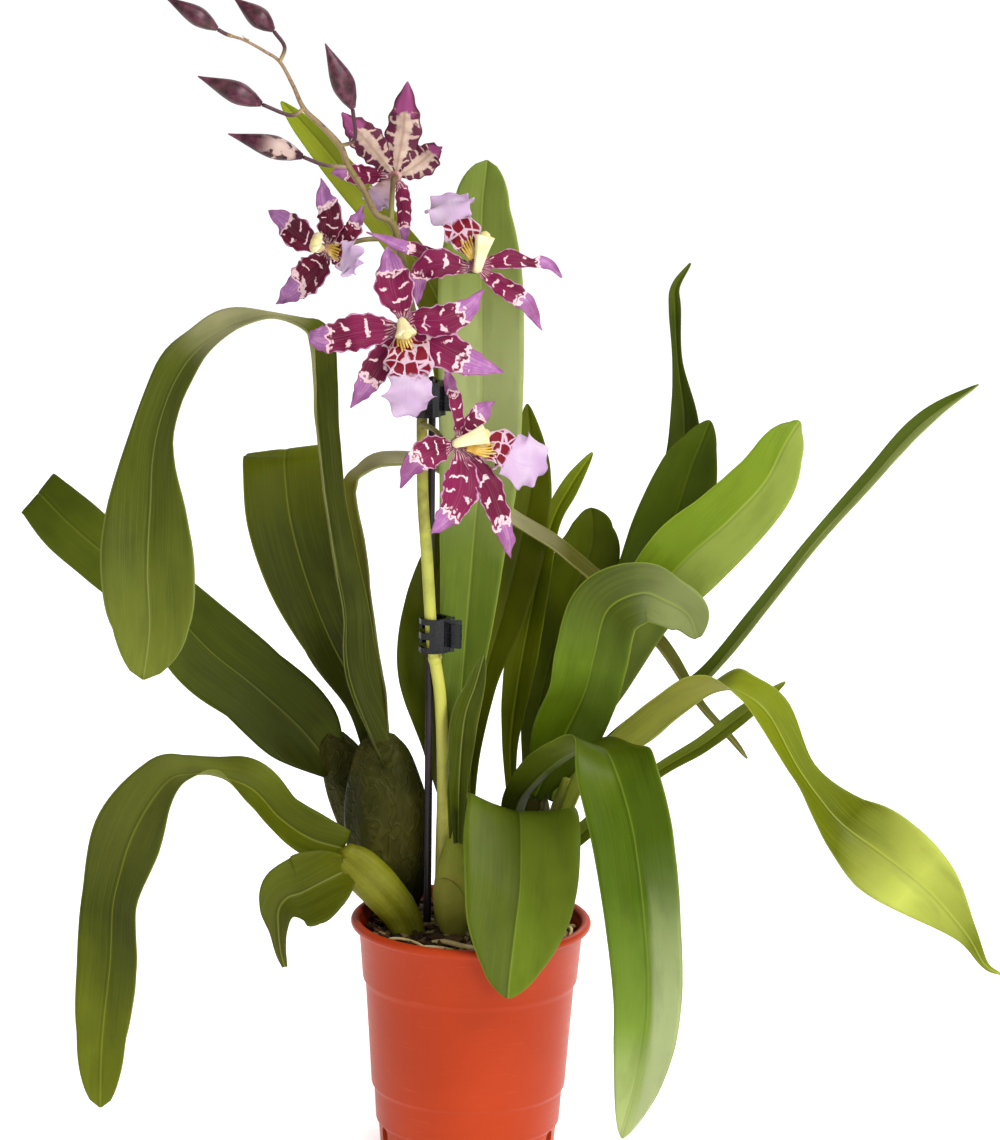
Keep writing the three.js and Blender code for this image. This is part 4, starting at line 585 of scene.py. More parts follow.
def blade(shell, rows, fold, facing=VIEWER, stations=LEAF_STATIONS, across=LEAF_ACROSS,
          thickness=LEAF_THICKNESS, wave=(0, 0), frill=(0, 0), groove=0.0, ripple=0.0, fuller=0.0, heel=0.0,
          slots=(0, 1)):
    """A thin blade along rows [x, y, z, half width, twist]. fold leans each half towards the normal, wave
    lifts the margins and frill moves them in and out, groove is the depth of the midrib, ripple the height
    of uneven swells, fuller rounds the last stretch before the tip and heel widens the base."""
    rows = np.asarray(rows, float)
    if rows.shape[1] == 4:
        rows = np.hstack([rows, np.zeros((len(rows), 1))])
    t = np.linspace(0, 1, stations)
    point, _, side, normal = frames_along(rows[:, :3], stations, facing)
    width, twist = curve(rows[:, 3:], t).T
    last = np.clip((t - 1) * (len(rows) - 1) + 1, 0, 1)
    width = np.maximum(width, width + fuller * (rows[-2, 3] * np.sqrt(1 - last**2) - width) * (last > 0))
    width *= 1 + heel * np.clip(1 - t * (len(rows) - 1) / 2, 0, 1)
    width = np.maximum(width, NARROWEST)[:, None]
    cos, sin = np.cos(np.radians(twist))[:, None], np.sin(np.radians(twist))[:, None]
    side, normal = side * cos + normal * sin, normal * cos - side * sin
    lean = np.radians(fold[0] + (fold[1] - fold[0]) * np.sqrt(t))[:, None]
    s = np.linspace(-1, 1, across)[None, :]
    phase = 2 * np.pi * t[:, None]
    lift = wave[0] * np.sin(wave[1] * phase + WAVE_SHIFT * (s > 0)) * s**2 * ease(t, 0, 0.2)[:, None]
    edge = 1 + frill[0] * np.sin(frill[1] * phase + FRILL_SHIFT * (s > 0)) * s**4
    reach = width * s * np.cos(lean) * edge
    rise = width * np.abs(s)**1.3 * np.sin(lean) + lift
    slope = np.tan(lean) * np.abs(s)**0.3 * np.sign(s)
    skin = unit(normal[:, None] - side[:, None] * slope[..., None])
    middle = point[:, None] + side[:, None] * reach[..., None] + normal[:, None] * rise[..., None]
    if ripple:
        middle = middle + skin * (ripple * swells(middle) * ease(width, 2, 9))[..., None]
    half = thickness / 2 * (1 - MARGIN_THINNING * s**8) * np.minimum(1, width / 2)
    rib = groove * np.exp(-(reach / RIB_REACH)**2) * ease(width, 1, 6)
    add_slab(shell, middle + skin * (half - rib)[..., None], middle - skin * (half + rib)[..., None],
             pairs((s + 1) / 2, t[:, None]), pairs(reach, lengths_along(point)[:, None]), slots)


def swells(points):
    """Uneven heights over a grid of points, wide ones with finer ones on them."""
    heights = [noise.noise(Vector(point) * 0.035) + 0.4 * noise.noise(Vector(point) * 0.09)
               for point in points.reshape(-1, 3)]
    return np.array(heights).reshape(points.shape[:2])


def tube(shell, rows, sides, stations, facing=VIEWER, section=lambda angle, t: 1.0, slot=0):
    """A round, ribbed or flattened stem along rows [x, y, z, radius]."""
    rows = np.asarray(rows, float)
    t = np.linspace(0, 1, stations)
    point, tangent, side, normal = frames_along(rows[:, :3], stations, facing)
    radius = np.maximum(curve(rows[:, 3:4], t), THINNEST)
    angle = circle(sides)[None, :]
    reach = radius * section(angle, t[:, None])
    ring = point[:, None] + side[:, None] * (reach * np.cos(angle))[..., None]
    ring = ring - normal[:, None] * (reach * np.sin(angle))[..., None]
    close(shell, ring, tangent, radius, t, lengths_along(point), slot)


def close(shell, rings, tangent, radius, t, length, slot=0):
    """Closes a row of rings with a low dome at each end."""
    tips = [rings[k].mean(0) + tangent[k] * radius[k] * push for k, push in ((0, -DOME), (-1, DOME))]
    around = np.linspace(0, 1, rings.shape[1], endpoint=False)[None, :]
    maps = [np.vstack([pairs(around, along[:, None]).reshape(-1, 2), [[0.5, 0], [0.5, along[-1]]]])
            for along in (t, length)]
    add_rings(shell, rings, tips, *maps, slot)


# Materials

def rgb(code):
    """A linear colour from a web colour code."""
    channels = [int(code[k:k + 2], 16) / 255 for k in (0, 2, 4)]
    return (*[c / 12.92 if c <= 0.04045 else ((c + 0.055) / 1.055) ** 2.4 for c in channels], 1.0)


def evenly(colours):
    return zip(np.linspace(0, 1, len(colours)), colours)


class Value:
    """The output of a shader node. Arithmetic with it adds the nodes that work the result out."""

    def __init__(self, look, socket):
        self.look, self.socket = look, socket

    def math(self, operation, other=0.0):
        return self.look.node("Math", self, other, operation=operation)

    def __add__(self, other):
        return self.math("ADD", other)

    def __sub__(self, other):
        return self.math("SUBTRACT", other)

    def __rsub__(self, other):
        return self.look.node("Math", other, self, operation="SUBTRACT")

    def __mul__(self, other):
        return self.math("MULTIPLY", other)

    def __abs__(self):
        return self.math("ABSOLUTE")

    def step(self, low, high):
        """0 below low and 1 above high; the other way round where low is the larger."""
        return self.look.node("MapRange", self, low, high, 0.0, 1.0, interpolation_type="SMOOTHSTEP")


class Look:
    """A node material under construction. Most calls add a node and return its output."""

    def __init__(self, name, **inputs):
        self.material = bpy.data.materials.new(name)
        self.material.use_nodes = True
        self.tree = self.material.node_tree
        self.shader = self.tree.nodes["Principled BSDF"]
        for socket, value in {"Specular_IOR_Level": SHINE, **inputs}.items():
            self.set(socket, value)

    def set(self, socket, value):
        self.plug(self.shader.inputs[socket.replace("_", " ")], value)

    def plug(self, socket, value):
        if isinstance(value, Value):
            self.tree.links.new(value.socket, socket)
        else:
            socket.default_value = rgb(value) if isinstance(value, str) else value

    def node(self, kind, *values, output=0, **settings):
        """Fills the inputs of a new node in their order; None leaves one as it is."""
        made = self.tree.nodes.new("ShaderNode" + kind)
        for setting, value in settings.items():
            setattr(made, setting, value)
        for socket, value in zip(made.inputs, values):
            if value is not None:
                self.plug(socket, value)
        return Value(self, made.outputs[output])

    def blend(self, factor, a, b):
        """The colour a where the factor is 0, b where it is 1 and a mixture between."""
        return self.node("Mix", factor, *[None] * 5, a, b, output=2, data_type="RGBA")

    def layers(self, colour, *marks):
        """Lays marks over a colour in their order, each a colour and how strongly it covers, from 0 to 1."""
        for mark, cover in marks:
            colour = self.blend(cover, colour, mark)
        return colour

    def ramp(self, value, *stops):
        made = self.tree.nodes.new("ShaderNodeValToRGB")
        self.plug(made.inputs[0], value)
        elements = made.color_ramp.elements
        while len(elements) < len(stops):
            elements.new(0.5)
        for element, (place, colour) in zip(elements, stops):
            element.position, element.color = place, rgb(colour)
        return Value(self, made.outputs[0])

    def place(self):
        return self.node("TexCoord", output=3)

    def height(self, place):
        return self.node("SeparateXYZ", place, output=2)

    def uv(self, name):
        layer = self.node("UVMap", uv_map=name)
        return [self.node("SeparateXYZ", layer, output=k) for k in (0, 1)]

    def combine(self, x, y, z=0.0):
        return self.node("CombineXYZ", x, y, z)

    def stretch(self, place, scales):
        return self.node("VectorMath", place, scales, operation="MULTIPLY")

    def noise(self, vector, scale, detail):
        return self.node("TexNoise", vector, None, scale, detail)

    def cells(self, vector, scale, feature="F1"):
        return self.node("TexVoronoi", vector, None, scale, feature=feature)

    def finish(self, colour, height, bump, roughness=None):
        """Sets the colour, the relief with its strength and depth in metres, and the roughness."""
        self.set("Base_Color", colour)
        if roughness:
            self.set("Roughness", roughness)
        self.set("Normal", self.node("Bump", *bump, None, height))
        return self.material


def leaf_look(name, colours, rib, gloss, lit_and_shaded_halves=None, painted_highlight=None):
    """colours runs from the base of the leaf to its tip, and gloss is the least roughness.

    lit_and_shaded_halves paints shade on one side of the midrib and light on the other. painted_highlight is a
    pale stretch that stands in for gloss: its colour, the side that it lies on (0 for both), where it starts
    and is full, and where it ends.
    """
    look = Look(name, Specular_IOR_Level=LEAF_SHINE)
    across, along = look.uv("share")
    reach, length = look.uv("size")
    place = look.place()
    patches = look.noise(place, 16.0, 3.0)
    mottle = look.noise(look.combine(reach * 0.12, length * 0.03), 1.0, 4.0)
    fibres = look.noise(look.combine(reach * 1.6, length * 0.02), 1.0, 3.0)
    uneven = along + patches * 0.12 - 0.06
    colour = look.ramp(uneven, *evenly(colours))
    # painted shade on one half of the leaf and painted light on the other
    if lit_and_shaded_halves:
        colour = look.blend(0.7, colour, look.blend((reach + patches * 3.0 - 1.5).step(-0.6, 0.6), *lit_and_shaded_halves))
    # a painted highlight: a pale stretch that stands in for gloss on the leaf
    if painted_highlight:
        pale, side, start, full, end = painted_highlight
        where = uneven.step(start, full) * uneven.step(end + 0.1, end) * 0.85
        if side:
            where = where * (reach * side + mottle * 6.0 - 3.0).step(0.5, 4.5)
        colour = look.blend(where, colour, pale)
    margin = abs(across - 0.5).step(0.475, 0.495) * length.step(40.0, 90.0)
    colour = look.layers(
        colour,
        ("141a00", mottle.step(0.45, 0.7) * 0.165),
        ("8c9a2c", patches.step(0.5, 0.75) * 0.12),
        (rib, fibres.step(0.45, 0.7) * 0.1),
        # painted shade: a thin dark line in the groove on one side of the midrib
        ("101400", abs(reach - 1.1).step(0.8, 0.2) * 0.18),
        (rib, abs(reach).step(0.6, 0.1) * 0.45),
        (rib, margin * 0.5),
        ("2a2c08", look.cells(place, 700.0).step(0.22, 0.08) * 0.1),
    )
    return look.finish(colour, fibres * 0.5 + patches, (0.25, 0.0004), patches * 0.22 + gloss)


def tepal_look(name, inner, second, bar, tip, margin):
    """Blotched, with pale bars across it and a pale edge, up to the plain lilac of its tip."""
    look = Look(name, Roughness=0.6, Specular_IOR_Level=0.18, Subsurface_Weight=0.02, Subsurface_Scale=0.002)
    across, along = look.uv("share")
    place = look.place()
    off = abs(across - 0.5) * 2.0
    soft = look.noise(place, 45.0, 2.0)
    fine = look.noise(place, 300.0, 3.0)
    vein = look.noise(look.combine(across * 26.0, along * 2.0), 1.0, 2.0)
    slant = along * TEPAL_BARS + soft * 0.8 + fine * 0.8 - off * off * 0.35
    rings = (slant * math.tau).math("SINE").step(0.78, 0.93)
    dashes = look.noise(look.combine(across * 3.1, slant.math("FLOOR") * 3.7), 1.0, 1.0)
    broken = (dashes + fine * 0.16 - 0.08).step(0.45, 0.5)
    throat = (along + fine * 0.1).step(0.27, 0.2) * vein.step(0.5, 0.58)
    uneven = along + fine * 0.26 - 0.13
    beyond = uneven.step(TEPAL_PLAIN, TEPAL_PLAIN + 0.015)
    last_bar = uneven.step(TEPAL_PLAIN - 0.045, TEPAL_PLAIN - 0.025) * (1.0 - beyond)
    rim = (off + fine * 0.3 - 0.15).step(0.91, 0.97)
    colour = look.layers(
        look.blend(soft.step(0.35, 0.7), inner, second),
        (bar, vein.step(0.5, 0.8) * 0.12),
        (bar, rings * broken * off.step(0.84, 0.66)),
        (bar, throat * 0.8),
        (bar, last_bar),
        (margin, rim * 0.75),
    )
    lilac = look.layers(
        tip,
        (margin, (vein + fine * 0.6 - 0.3).step(0.45, 0.7) * 0.45),
        (inner, soft.step(0.45, 0.7) * 0.45),
        (second, off.step(0.5, 1.0) * 0.3),
    )
    return look.finish(look.blend(beyond, colour, lilac), vein + fine, (0.3, 0.0003))


def reverse_look(name, middle, margin, tip):
    """The back of a tepal: a pale middle, margins crossed by pale bars and a dark plain tip."""
    look = Look(name, Roughness=0.55, Subsurface_Weight=0.04, Subsurface_Scale=0.002)
    across, along = look.uv("share")
    place = look.place()
    off = abs(across - 0.5) * 2.0
    soft = look.noise(place, 90.0, 3.0)
    fine = look.noise(place, 300.0, 3.0)
    bars = (along * 52.0 + soft * 16.0).math("SINE").step(0.6, 0.9)
    dark = (off + fine * 0.5 + soft * 0.4 - 0.45).step(0.38, 0.5)
    colour = look.layers(
        middle,
        (margin, fine.step(0.4, 0.7) * 0.3),
        ("b0907e", soft.step(0.45, 0.7) * 0.4),
        ("8a6a4a", off.step(0.14, 0.02) * 0.5),
        (margin, dark * (1.0 - bars * off.step(0.95, 0.85))),
    )
    plain = (along + fine * 0.2 - 0.1).step(REVERSE_PLAIN, REVERSE_PLAIN + 0.04)
    colour = look.blend(plain, colour, look.blend(off.step(0.5, 0.95), tip, margin))
    return look.finish(colour, fine + soft, (0.3, 0.0003))


def lip_look(name, blotches):
    """A pale fan; its narrow part is blotched with dark cells between pale veins."""
    look = Look(name, Roughness=0.6, Specular_IOR_Level=0.2, Subsurface_Weight=0.04, Subsurface_Scale=0.002)
    across, along = look.uv("share")
    place = look.place()
    fine = look.noise(place, 240.0, 3.0)
    soft = look.noise(place, 60.0, 2.0)
    vein = look.noise(look.combine(across * 22.0, along * 2.0), 1.0, 2.0)
    uneven = along + fine * 0.14 - 0.07
    colour = look.layers(
        look.ramp(uneven, (0, "c4a494"), (0.35, "c2a2ae"), (0.55, "b99dba"), (0.8, "b79bb8"), (1, "a886ae")),
        ("ccbecb", soft.step(0.5, 0.75) * 0.5),
        ("a386b0", vein.step(0.5, 0.75) * 0.25),
    )
    if blotches:
        where = look.combine(across * 4.6 + fine * 0.9, along * 9.5 + soft * 0.8, 0.3)
        walls = look.cells(where, 1.0, "DISTANCE_TO_EDGE").step(0.05, 0.1)
        inside = uneven.step(0.52, 0.48) * (abs(across - 0.5) * 2.0).step(0.97, 0.88)
        colour = look.blend(walls * inside, colour, "6c0018")
    return look.finish(colour, vein + fine, (0.25, 0.0003))


def mottled_look(name, colours, scale, gloss, bump=(0.3, 0.0005), streaks=0.0, **inputs):
    """Colours mixed by noise, from its lowest value to its highest, with streaks along the piece."""
    look = Look(name, **inputs)
    place = look.place()
    patches = look.noise(place, scale, 4.0)
    fine = look.noise(place, scale * 9, 3.0)
    value = patches * 1.9 + fine * 0.4 - 0.65
    if streaks:
        around, _ = look.uv("share")
        value = value + (around * (math.tau * STREAK_COUNT) + patches * 7.0).math("SINE") * streaks
    return look.finish(look.ramp(value, *evenly(colours)), patches + fine, bump, fine * 0.2 + gloss)


def old_bulb_look():
    """Wrinkled olive skin: ridges painted paler as a painted highlight round darker hollows, browner towards
    the mix.
    """
    look = Look("bulb_old_skin", Specular_IOR_Level=0.06)
    place = look.place()
    patches = look.noise(place, 30.0, 4.0)
    fine = look.noise(place, 260.0, 3.0)
    swirl = look.node("TexNoise", place, None, 60.0, 2.0, output=1)
    bent = look.node("VectorMath", place, swirl, (0.006, 0.006, 0.03), operation="MULTIPLY_ADD")
    where = look.stretch(look.node("VectorMath", place, bent, operation="ADD"), (120.0, 120.0, 30.0))
    ridges = look.cells(where, 1.0, "DISTANCE_TO_EDGE").step(0.14, 0.0)
    skin = look.ramp(patches * 1.9 - 0.45, (0, "1e2006"), (0.4, "30300c"), (0.75, "403c12"), (1, "504a1e"))
    colour = look.layers(
        skin,
        # the pale ridges are a painted highlight on the wrinkles
        ("5d5a2a", ridges * patches * 0.3),
        ("1a1a06", fine.step(0.5, 0.7) * 0.25),
        ("1c1410", look.height(place).step(0.145, 0.112) * 0.75),
    )
    return look.finish(colour, ridges + patches * 1.2, (0.6, 0.0009), patches * 0.2 + 0.36)


def pot_look():
    look = Look("pot_plastic", Specular_IOR_Level=0.14)
    place = look.place()
    patches = look.noise(place, 11.0, 3.0)
    scuffs = look.noise(look.stretch(place, (60.0, 60.0, 900.0)), 1.0, 3.0)
    colour = look.blend(patches.step(0.35, 0.7), "a4330c", "b03a12")
    colour = look.blend(scuffs.step(0.62, 0.75) * 0.2, colour, "c8623c")
    return look.finish(colour, patches + scuffs * 0.2, (0.15, 0.0004), scuffs * 0.2 + 0.28)


def chip_look(name, colours, gloss):
    """Each chip has its own tone, kept as its first share, over a fibrous grain."""
    look = Look(name)
    tone, _ = look.uv("share")
    grain = look.noise(look.stretch(look.place(), (500.0, 900.0, 1400.0)), 1.0, 4.0)
    colour = look.ramp(tone + grain * 0.5 - 0.25, *evenly(colours))
    return look.finish(colour, grain, (0.8, 0.0006), grain * 0.25 + gloss)


def spike_look():
    """Green below, olive and then beige above, with brown flecks."""
    look = Look("spike_skin")
    place = look.place()
    height = look.height(place)
    patches = look.noise(place, 120.0, 4.0)
    value = height * 2.2 + patches * 0.4 - 0.42
    colour = look.ramp(value, (0, "8a883c"), (0.2, "bcb852"), (0.42, "b4b64c"), (0.6, "7c7434"),
                       (0.8, "75663a"), (1, "8c7258"))
    flecks = look.noise(place, 420.0, 2.0).step(0.56, 0.66) * height.step(0.3, 0.5)
    colour = look.blend(flecks * 0.6, colour, "5c3430")
    return look.finish(colour, patches, (0.3, 0.0003), patches * 0.2 + 0.36)


def stalk_look(name, start, end):
    """Runs from the spike's colour to a dark one at the flower."""
    look = Look(name)
    _, along = look.uv("share")
    patches = look.noise(look.place(), 200.0, 3.0)
    colour = look.ramp(along + patches * 0.3 - 0.15, (0.05, start), (0.5, end), (1, end))
    return look.finish(colour, patches, (0.3, 0.0003), patches * 0.2 + 0.36)


def bud_look(name, patched):
    """Dark and faintly mottled; a patched bud has a ragged cream patch below its middle."""
    look = Look(name, Roughness=0.4)
    around, along = look.uv("share")
    place = look.place()
    fine = look.noise(place, 260.0, 4.0)
    soft = look.noise(place, 60.0, 2.0)
    colour = look.layers(
        look.ramp(fine, (0.35, "2a0a16"), (0.5, "421626"), (0.7, "5e2c3e")),
        ("4e4430", soft.step(0.5, 0.7) * 0.4),
        ("6e3c4c", along.step(0.75, 1.0) * 0.6),
    )
    if patched:
        ragged = (around * math.tau + PATCH_SIDE).math("COSINE") + fine * 3.2 - 1.6
        where = ragged.step(0.45, 0.75) * along.step(0.1, 0.3) * along.step(0.66, 0.45)
        colour = look.blend(where, colour, "b0968c")
    return look.finish(colour, fine, (0.3, 0.0004))


# Pot, potting mix and roots

def add_pot():
    """A nursery pot turned round Z: a rolled rim, two steps in the wall and arched notches at its foot."""
    (rim_x, rim_z), rim_radius = POT_RIM
    rim = [(rim_x + rim_radius * math.cos(a), rim_z + rim_radius * math.sin(a))
           for a in np.radians(np.arange(-50, 200, 20))]
    x, z = np.array(POT_OUTSIDE + rim + POT_INSIDE, float).T
    shell = Shell()
    add_rings(shell, turned(x[1:-1], z[1:-1], POT_SIDES), [[0, 0, z[0]], [0, 0, z[-1]]])
    pot = shell.build("pot_body", [pot_look()])
    cutter = notch_cutter()
    cut = pot.modifiers.new("notches", "BOOLEAN")
    cut.operation, cut.object, cut.solver = "DIFFERENCE", cutter, "EXACT"
    bpy.context.view_layer.update()
    whole = pot.evaluated_get(bpy.context.evaluated_depsgraph_get())
    pot.data = bpy.data.meshes.new_from_object(whole)
    pot.modifiers.clear()
    bpy.data.objects.remove(cutter)
    pot.data.set_sharp_from_angle(angle=math.radians(POT_SHARP))
    ride(pot, "pot", "pot")


def notch_cutter():
    """Arched blocks that reach through the foot of the wall, and rods for the drain holes."""
    shell = Shell()
    half = NOTCH_WIDTH / 2
    spring = NOTCH_HEIGHT - half
    bow = [(half * math.cos(a), spring + half * math.sin(a)) for a in np.radians(np.arange(15, 180, 15))]
    arch = np.array([(-half, -CUT_BELOW), (half, -CUT_BELOW), (half, spring), *bow, (-half, spring)])
    for k in range(NOTCHES):
        turn = (k + 0.5) * math.tau / NOTCHES
        out = np.array([math.sin(turn), -math.cos(turn), 0])
        across = np.array([math.cos(turn), math.sin(turn), 0])
        outline = arch[:, :1] * across + arch[:, 1:] * (0, 0, 1)
        add_prism(shell, [outline + out * reach for reach in NOTCH_REACH])
    drill = DRAIN_RADIUS * np.stack([np.cos(circle(24)), np.sin(circle(24)), np.zeros(24)], -1)
    for turn in circle(DRAIN_HOLES):
        x, y = DRAIN_CIRCLE * math.cos(turn), DRAIN_CIRCLE * math.sin(turn)
        add_prism(shell, [drill + (x, y, z) for z in (10, -CUT_BELOW)])
    return shell.build("notch_cutter", [])


def add_prism(shell, ends):
    """A closed block between two outlines that run counter-clockwise seen from the first one's side."""
    count = len(ends[0])
    j = np.arange(count)
    after = (j + 1) % count
    sides = np.stack([j, j + count, after + count, after], -1)
    shell.add(np.vstack(ends), [sides, [list(range(count))], [list(range(2 * count - 1, count - 1, -1))]])


def add_chip(shell, centre, size, turn, tone):
    """One broken flake of bark: a block with its corners drawn in and its faces roughened."""
    grid = np.array([(x, y, z) for z in (-1, 1) for y in (-1, -0.35, 0.35, 1) for x in (-1, -0.3, 0.4, 1)])
    outer = np.abs(grid[:, :2]) > 0.9
    grid[:, :2] *= np.where(outer.all(1), 0.72, 1.0)[:, None]
    grid[:, 2] *= np.where(outer.any(1), 0.6, 1.0)
    rough = np.array([noise.noise_vector(Vector(p * 0.8 + centre * 0.31)) for p in grid])
    points = ((grid + rough * 0.35) * size) @ np.array(turn.to_matrix()).T + centre
    faces = []
    for a in (4 * y + x for y in range(3) for x in range(3)):
        faces += [(a + 4, a + 5, a + 1, a), (a + 16, a + 17, a + 21, a + 20)]
    for k in range(3):
        low, high = 4 * k, 4 * k + 3
        faces += [(k, k + 1, k + 17, k + 16), (12 + k, 28 + k, 29 + k, 13 + k),
                  (low, low + 16, low + 20, low + 4), (high, high + 4, high + 20, high + 16)]
    shell.add(points, [faces], np.full((len(points), 2), tone), slot=1)


def add_mix():
    """Dark mix below, with flakes of bark lying over it in every direction."""
    shell = Shell()
    wall_heights, wall_radii = zip(*MIX_WALL)
    heights = np.linspace(wall_heights[0], MIX_TOP - MIX_DROP, 16)
    radii = np.interp(heights, wall_heights, wall_radii)
    inward = np.linspace(1, 0.02, MIX_RINGS)[1:]
    radii = np.append(radii, radii[-1] * inward)
    heights = np.append(heights, np.full(len(inward), heights[-1]))
    rings = turned(radii, heights, MIX_SIDES)
    for point in rings.reshape(-1, 3):
        if point[2] > MIX_TOP - 2:
            place = Vector(point)
            point[2] += 1.3 * noise.noise(place * 0.16) + 0.6 * noise.noise(place * 0.5)
    add_rings(shell, rings, [[0, 0, wall_heights[0]], [0, 0, rings[-1, 0, 2]]])
    draw = random.Random(CHIP_SEED)
    for k in range(CHIP_COUNT):
        reach, angle = CHIP_REACH * math.sqrt((k + 0.5) / CHIP_COUNT), k * GOLDEN_ANGLE
        size = np.array([draw.uniform(2.2, 6.0), draw.uniform(1.5, 3.6), draw.uniform(0.6, 1.3)])
        turn = Matrix.Rotation(draw.uniform(0, math.tau), 3, "Z")
        for axis in "XY":
            turn = turn @ Matrix.Rotation(draw.gauss(0, 0.35), 3, axis)
        height = MIX_TOP - 1.2 + draw.uniform(0, 2.6)
        centre = np.array([reach * math.cos(angle), reach * math.sin(angle), height])
        add_chip(shell, centre, size, turn.to_quaternion(), draw.random())
    soil = chip_look("mix_dark", ("140d08", "241810"), 0.85)
    bark = chip_look("bark", ("1a110b", "33210f", "4a3018", "6d5230", "a08a5c"), 0.65)
    ride(shell.build("potting_mix_bark", [soil, bark]), "mix", "potting_mix")


def add_roots():
    skin = mottled_look("root_skin", ("a38c58", "d6c08a", "efe2b8"), 90.0, 0.7)
    shell, small = Shell(), Shell()
    tube(shell, [(*row, ROOT_RADIUS) for row in ROOT_ROWS], sides=14, stations=60)
    ride(shell.build("root_over_bark", [skin]), "root", "root")
    for radius, rows in SMALL_ROOTS:
        tube(small, [(*row, radius) for row in rows], sides=10, stations=36)
    ride(small.build("roots_small", [skin]), "root")


# Bulbs and the shoot

def bulb_surface(spec, t, angle, lift=0.0):
    """Points on a bulb at heights t and round its axis at angle."""
    age, foot, top, half, ribs = spec
    found = curve(BULB_PROFILES[age], t)
    centre = np.array(foot) + found[:, :1] * (np.array(top) - np.array(foot))
    swell = found[:, 1:2] * (1 + ribs * np.cos(6 * angle))
    wrinkle = ribs * 0.22 * np.sin(17 * angle + 9 * t[:, None]) * np.sin(5 * angle - 14 * t[:, None])
    swell = swell * (1 + wrinkle) + lift / 10
    x, y = centre[:, :1] + half[0] * swell * np.cos(angle), centre[:, 1:2] + half[1] * swell * np.sin(angle)
    return np.stack(np.broadcast_arrays(x, y, centre[:, 2:]), -1), centre


def add_bulb(name, spec, look):
    t = np.linspace(0, 1, 60)
    rings, centre = bulb_surface(spec, t, circle(72)[None, :])
    up = unit(np.gradient(centre, axis=0))
    radius = np.linalg.norm(rings - centre[:, None], axis=-1).mean(1, keepdims=True)
    shell = Shell()
    close(shell, rings, up, radius, t, lengths_along(centre))
    ride(shell.build(name + "_skin", [look]), spec[0], name)


def add_sheath(name, spec, look, facing, spread, top, tilt):
    """A thin papery sheath that hugs one side of a bulb and ends in a point."""
    t = np.linspace(0.02, top, 36)
    s = np.linspace(-1, 1, 25)[None, :]
    share = (t / top)[:, None]
    reach = spread * np.sqrt(np.clip(1 - share**3, 0.0004, 1))
    angle = np.radians(facing + tilt * share) + np.radians(reach) * s
    front, back = (bulb_surface(spec, t, angle, lift)[0] for lift in SHEATH_LIFTS)
    shares = pairs((s + 1) / 2, share)
    shell = Shell()
    add_slab(shell, front, back, shares, shares, (0, 0))
    ride(shell.build(name, [look]), spec[0])


def add_bulbs():
    old = old_bulb_look()
    skins = {
        name: mottled_look(name, colours, scale, gloss, bump, streaks, Specular_IOR_Level=shine)
        for name, (colours, scale, gloss, bump, streaks, shine) in BULB_SKINS.items()
    }
    for name, spec in BULBS.items():
        add_bulb(name, spec, old if spec[0] == OLD else skins["bulb_young_skin"])
    for name, (bulb, skin, *shape) in SHEATHS.items():
        add_sheath(name, BULBS[bulb], skins[skin], *shape)
    shell = Shell()
    tube(shell, SHOOT_ROWS, sides=40, stations=50, section=lambda a, t: np.hypot(np.cos(a), 0.5 * np.sin(a)))
    ride(shell.build("shoot_skin", [skins["shoot_skin"]]), "bulb_young", "shoot")


# Leaves

def add_leaves():
    for name, (fold, rows) in LEAVES.items():
        slot, colours, under, rib, gloss = LEAF_COLOURS[name]
        upper = leaf_look(name + "_upper", colours, rib, gloss, LEAF_LIT_AND_SHADED_HALVES.get(name), LEAF_PAINTED_HIGHLIGHTS.get(name))
        lower = leaf_look(name + "_lower", (colours[0], under, under, under), rib, gloss + DULLER_BELOW)
        shell = Shell()
        blade(shell, rows, fold, groove=MIDRIB_DEPTH, ripple=SWELL_HEIGHT,
              fuller=ROUND_TIPS.get(name, TIP_FULLNESS), heel=BROAD_HEELS.get(name, 0))
        ride(shell.build(name + "_blade", [upper, lower]), slot, name)


# The spike, its buds and its blooms

def rows_on(origin, direction, spots):
    """Rows [x, y, z, radius] on a straight line, for pairs of a way along it and a radius."""
    return [(*(origin + direction * way), radius) for way, radius in spots]


def spot_on(rows, share):
    """Place, direction and radius of a stem at a share of its rows."""
    (*place, radius), ahead = curve(rows, np.array([share, share + 0.02]))
    return np.array(place), unit(ahead[:3] - place), radius


def stalk_rows(bloom):
    """The stalk of a bloom leaves the spike and meets the back of the hub squarely."""
    front = unit(np.array(bloom["facing"], float))
    end = np.array(bloom["centre"]) - front * (HUB_BACK + GAP)
    before = end - front * 7
    start = np.array(bloom["stalk_from"], float)
    between = start + (before - start) * 0.55 + (0, 0, 2)
    return [(*start, 1.5), (*between, 1.2), (*before, 1.35), (*end, 1.6)]


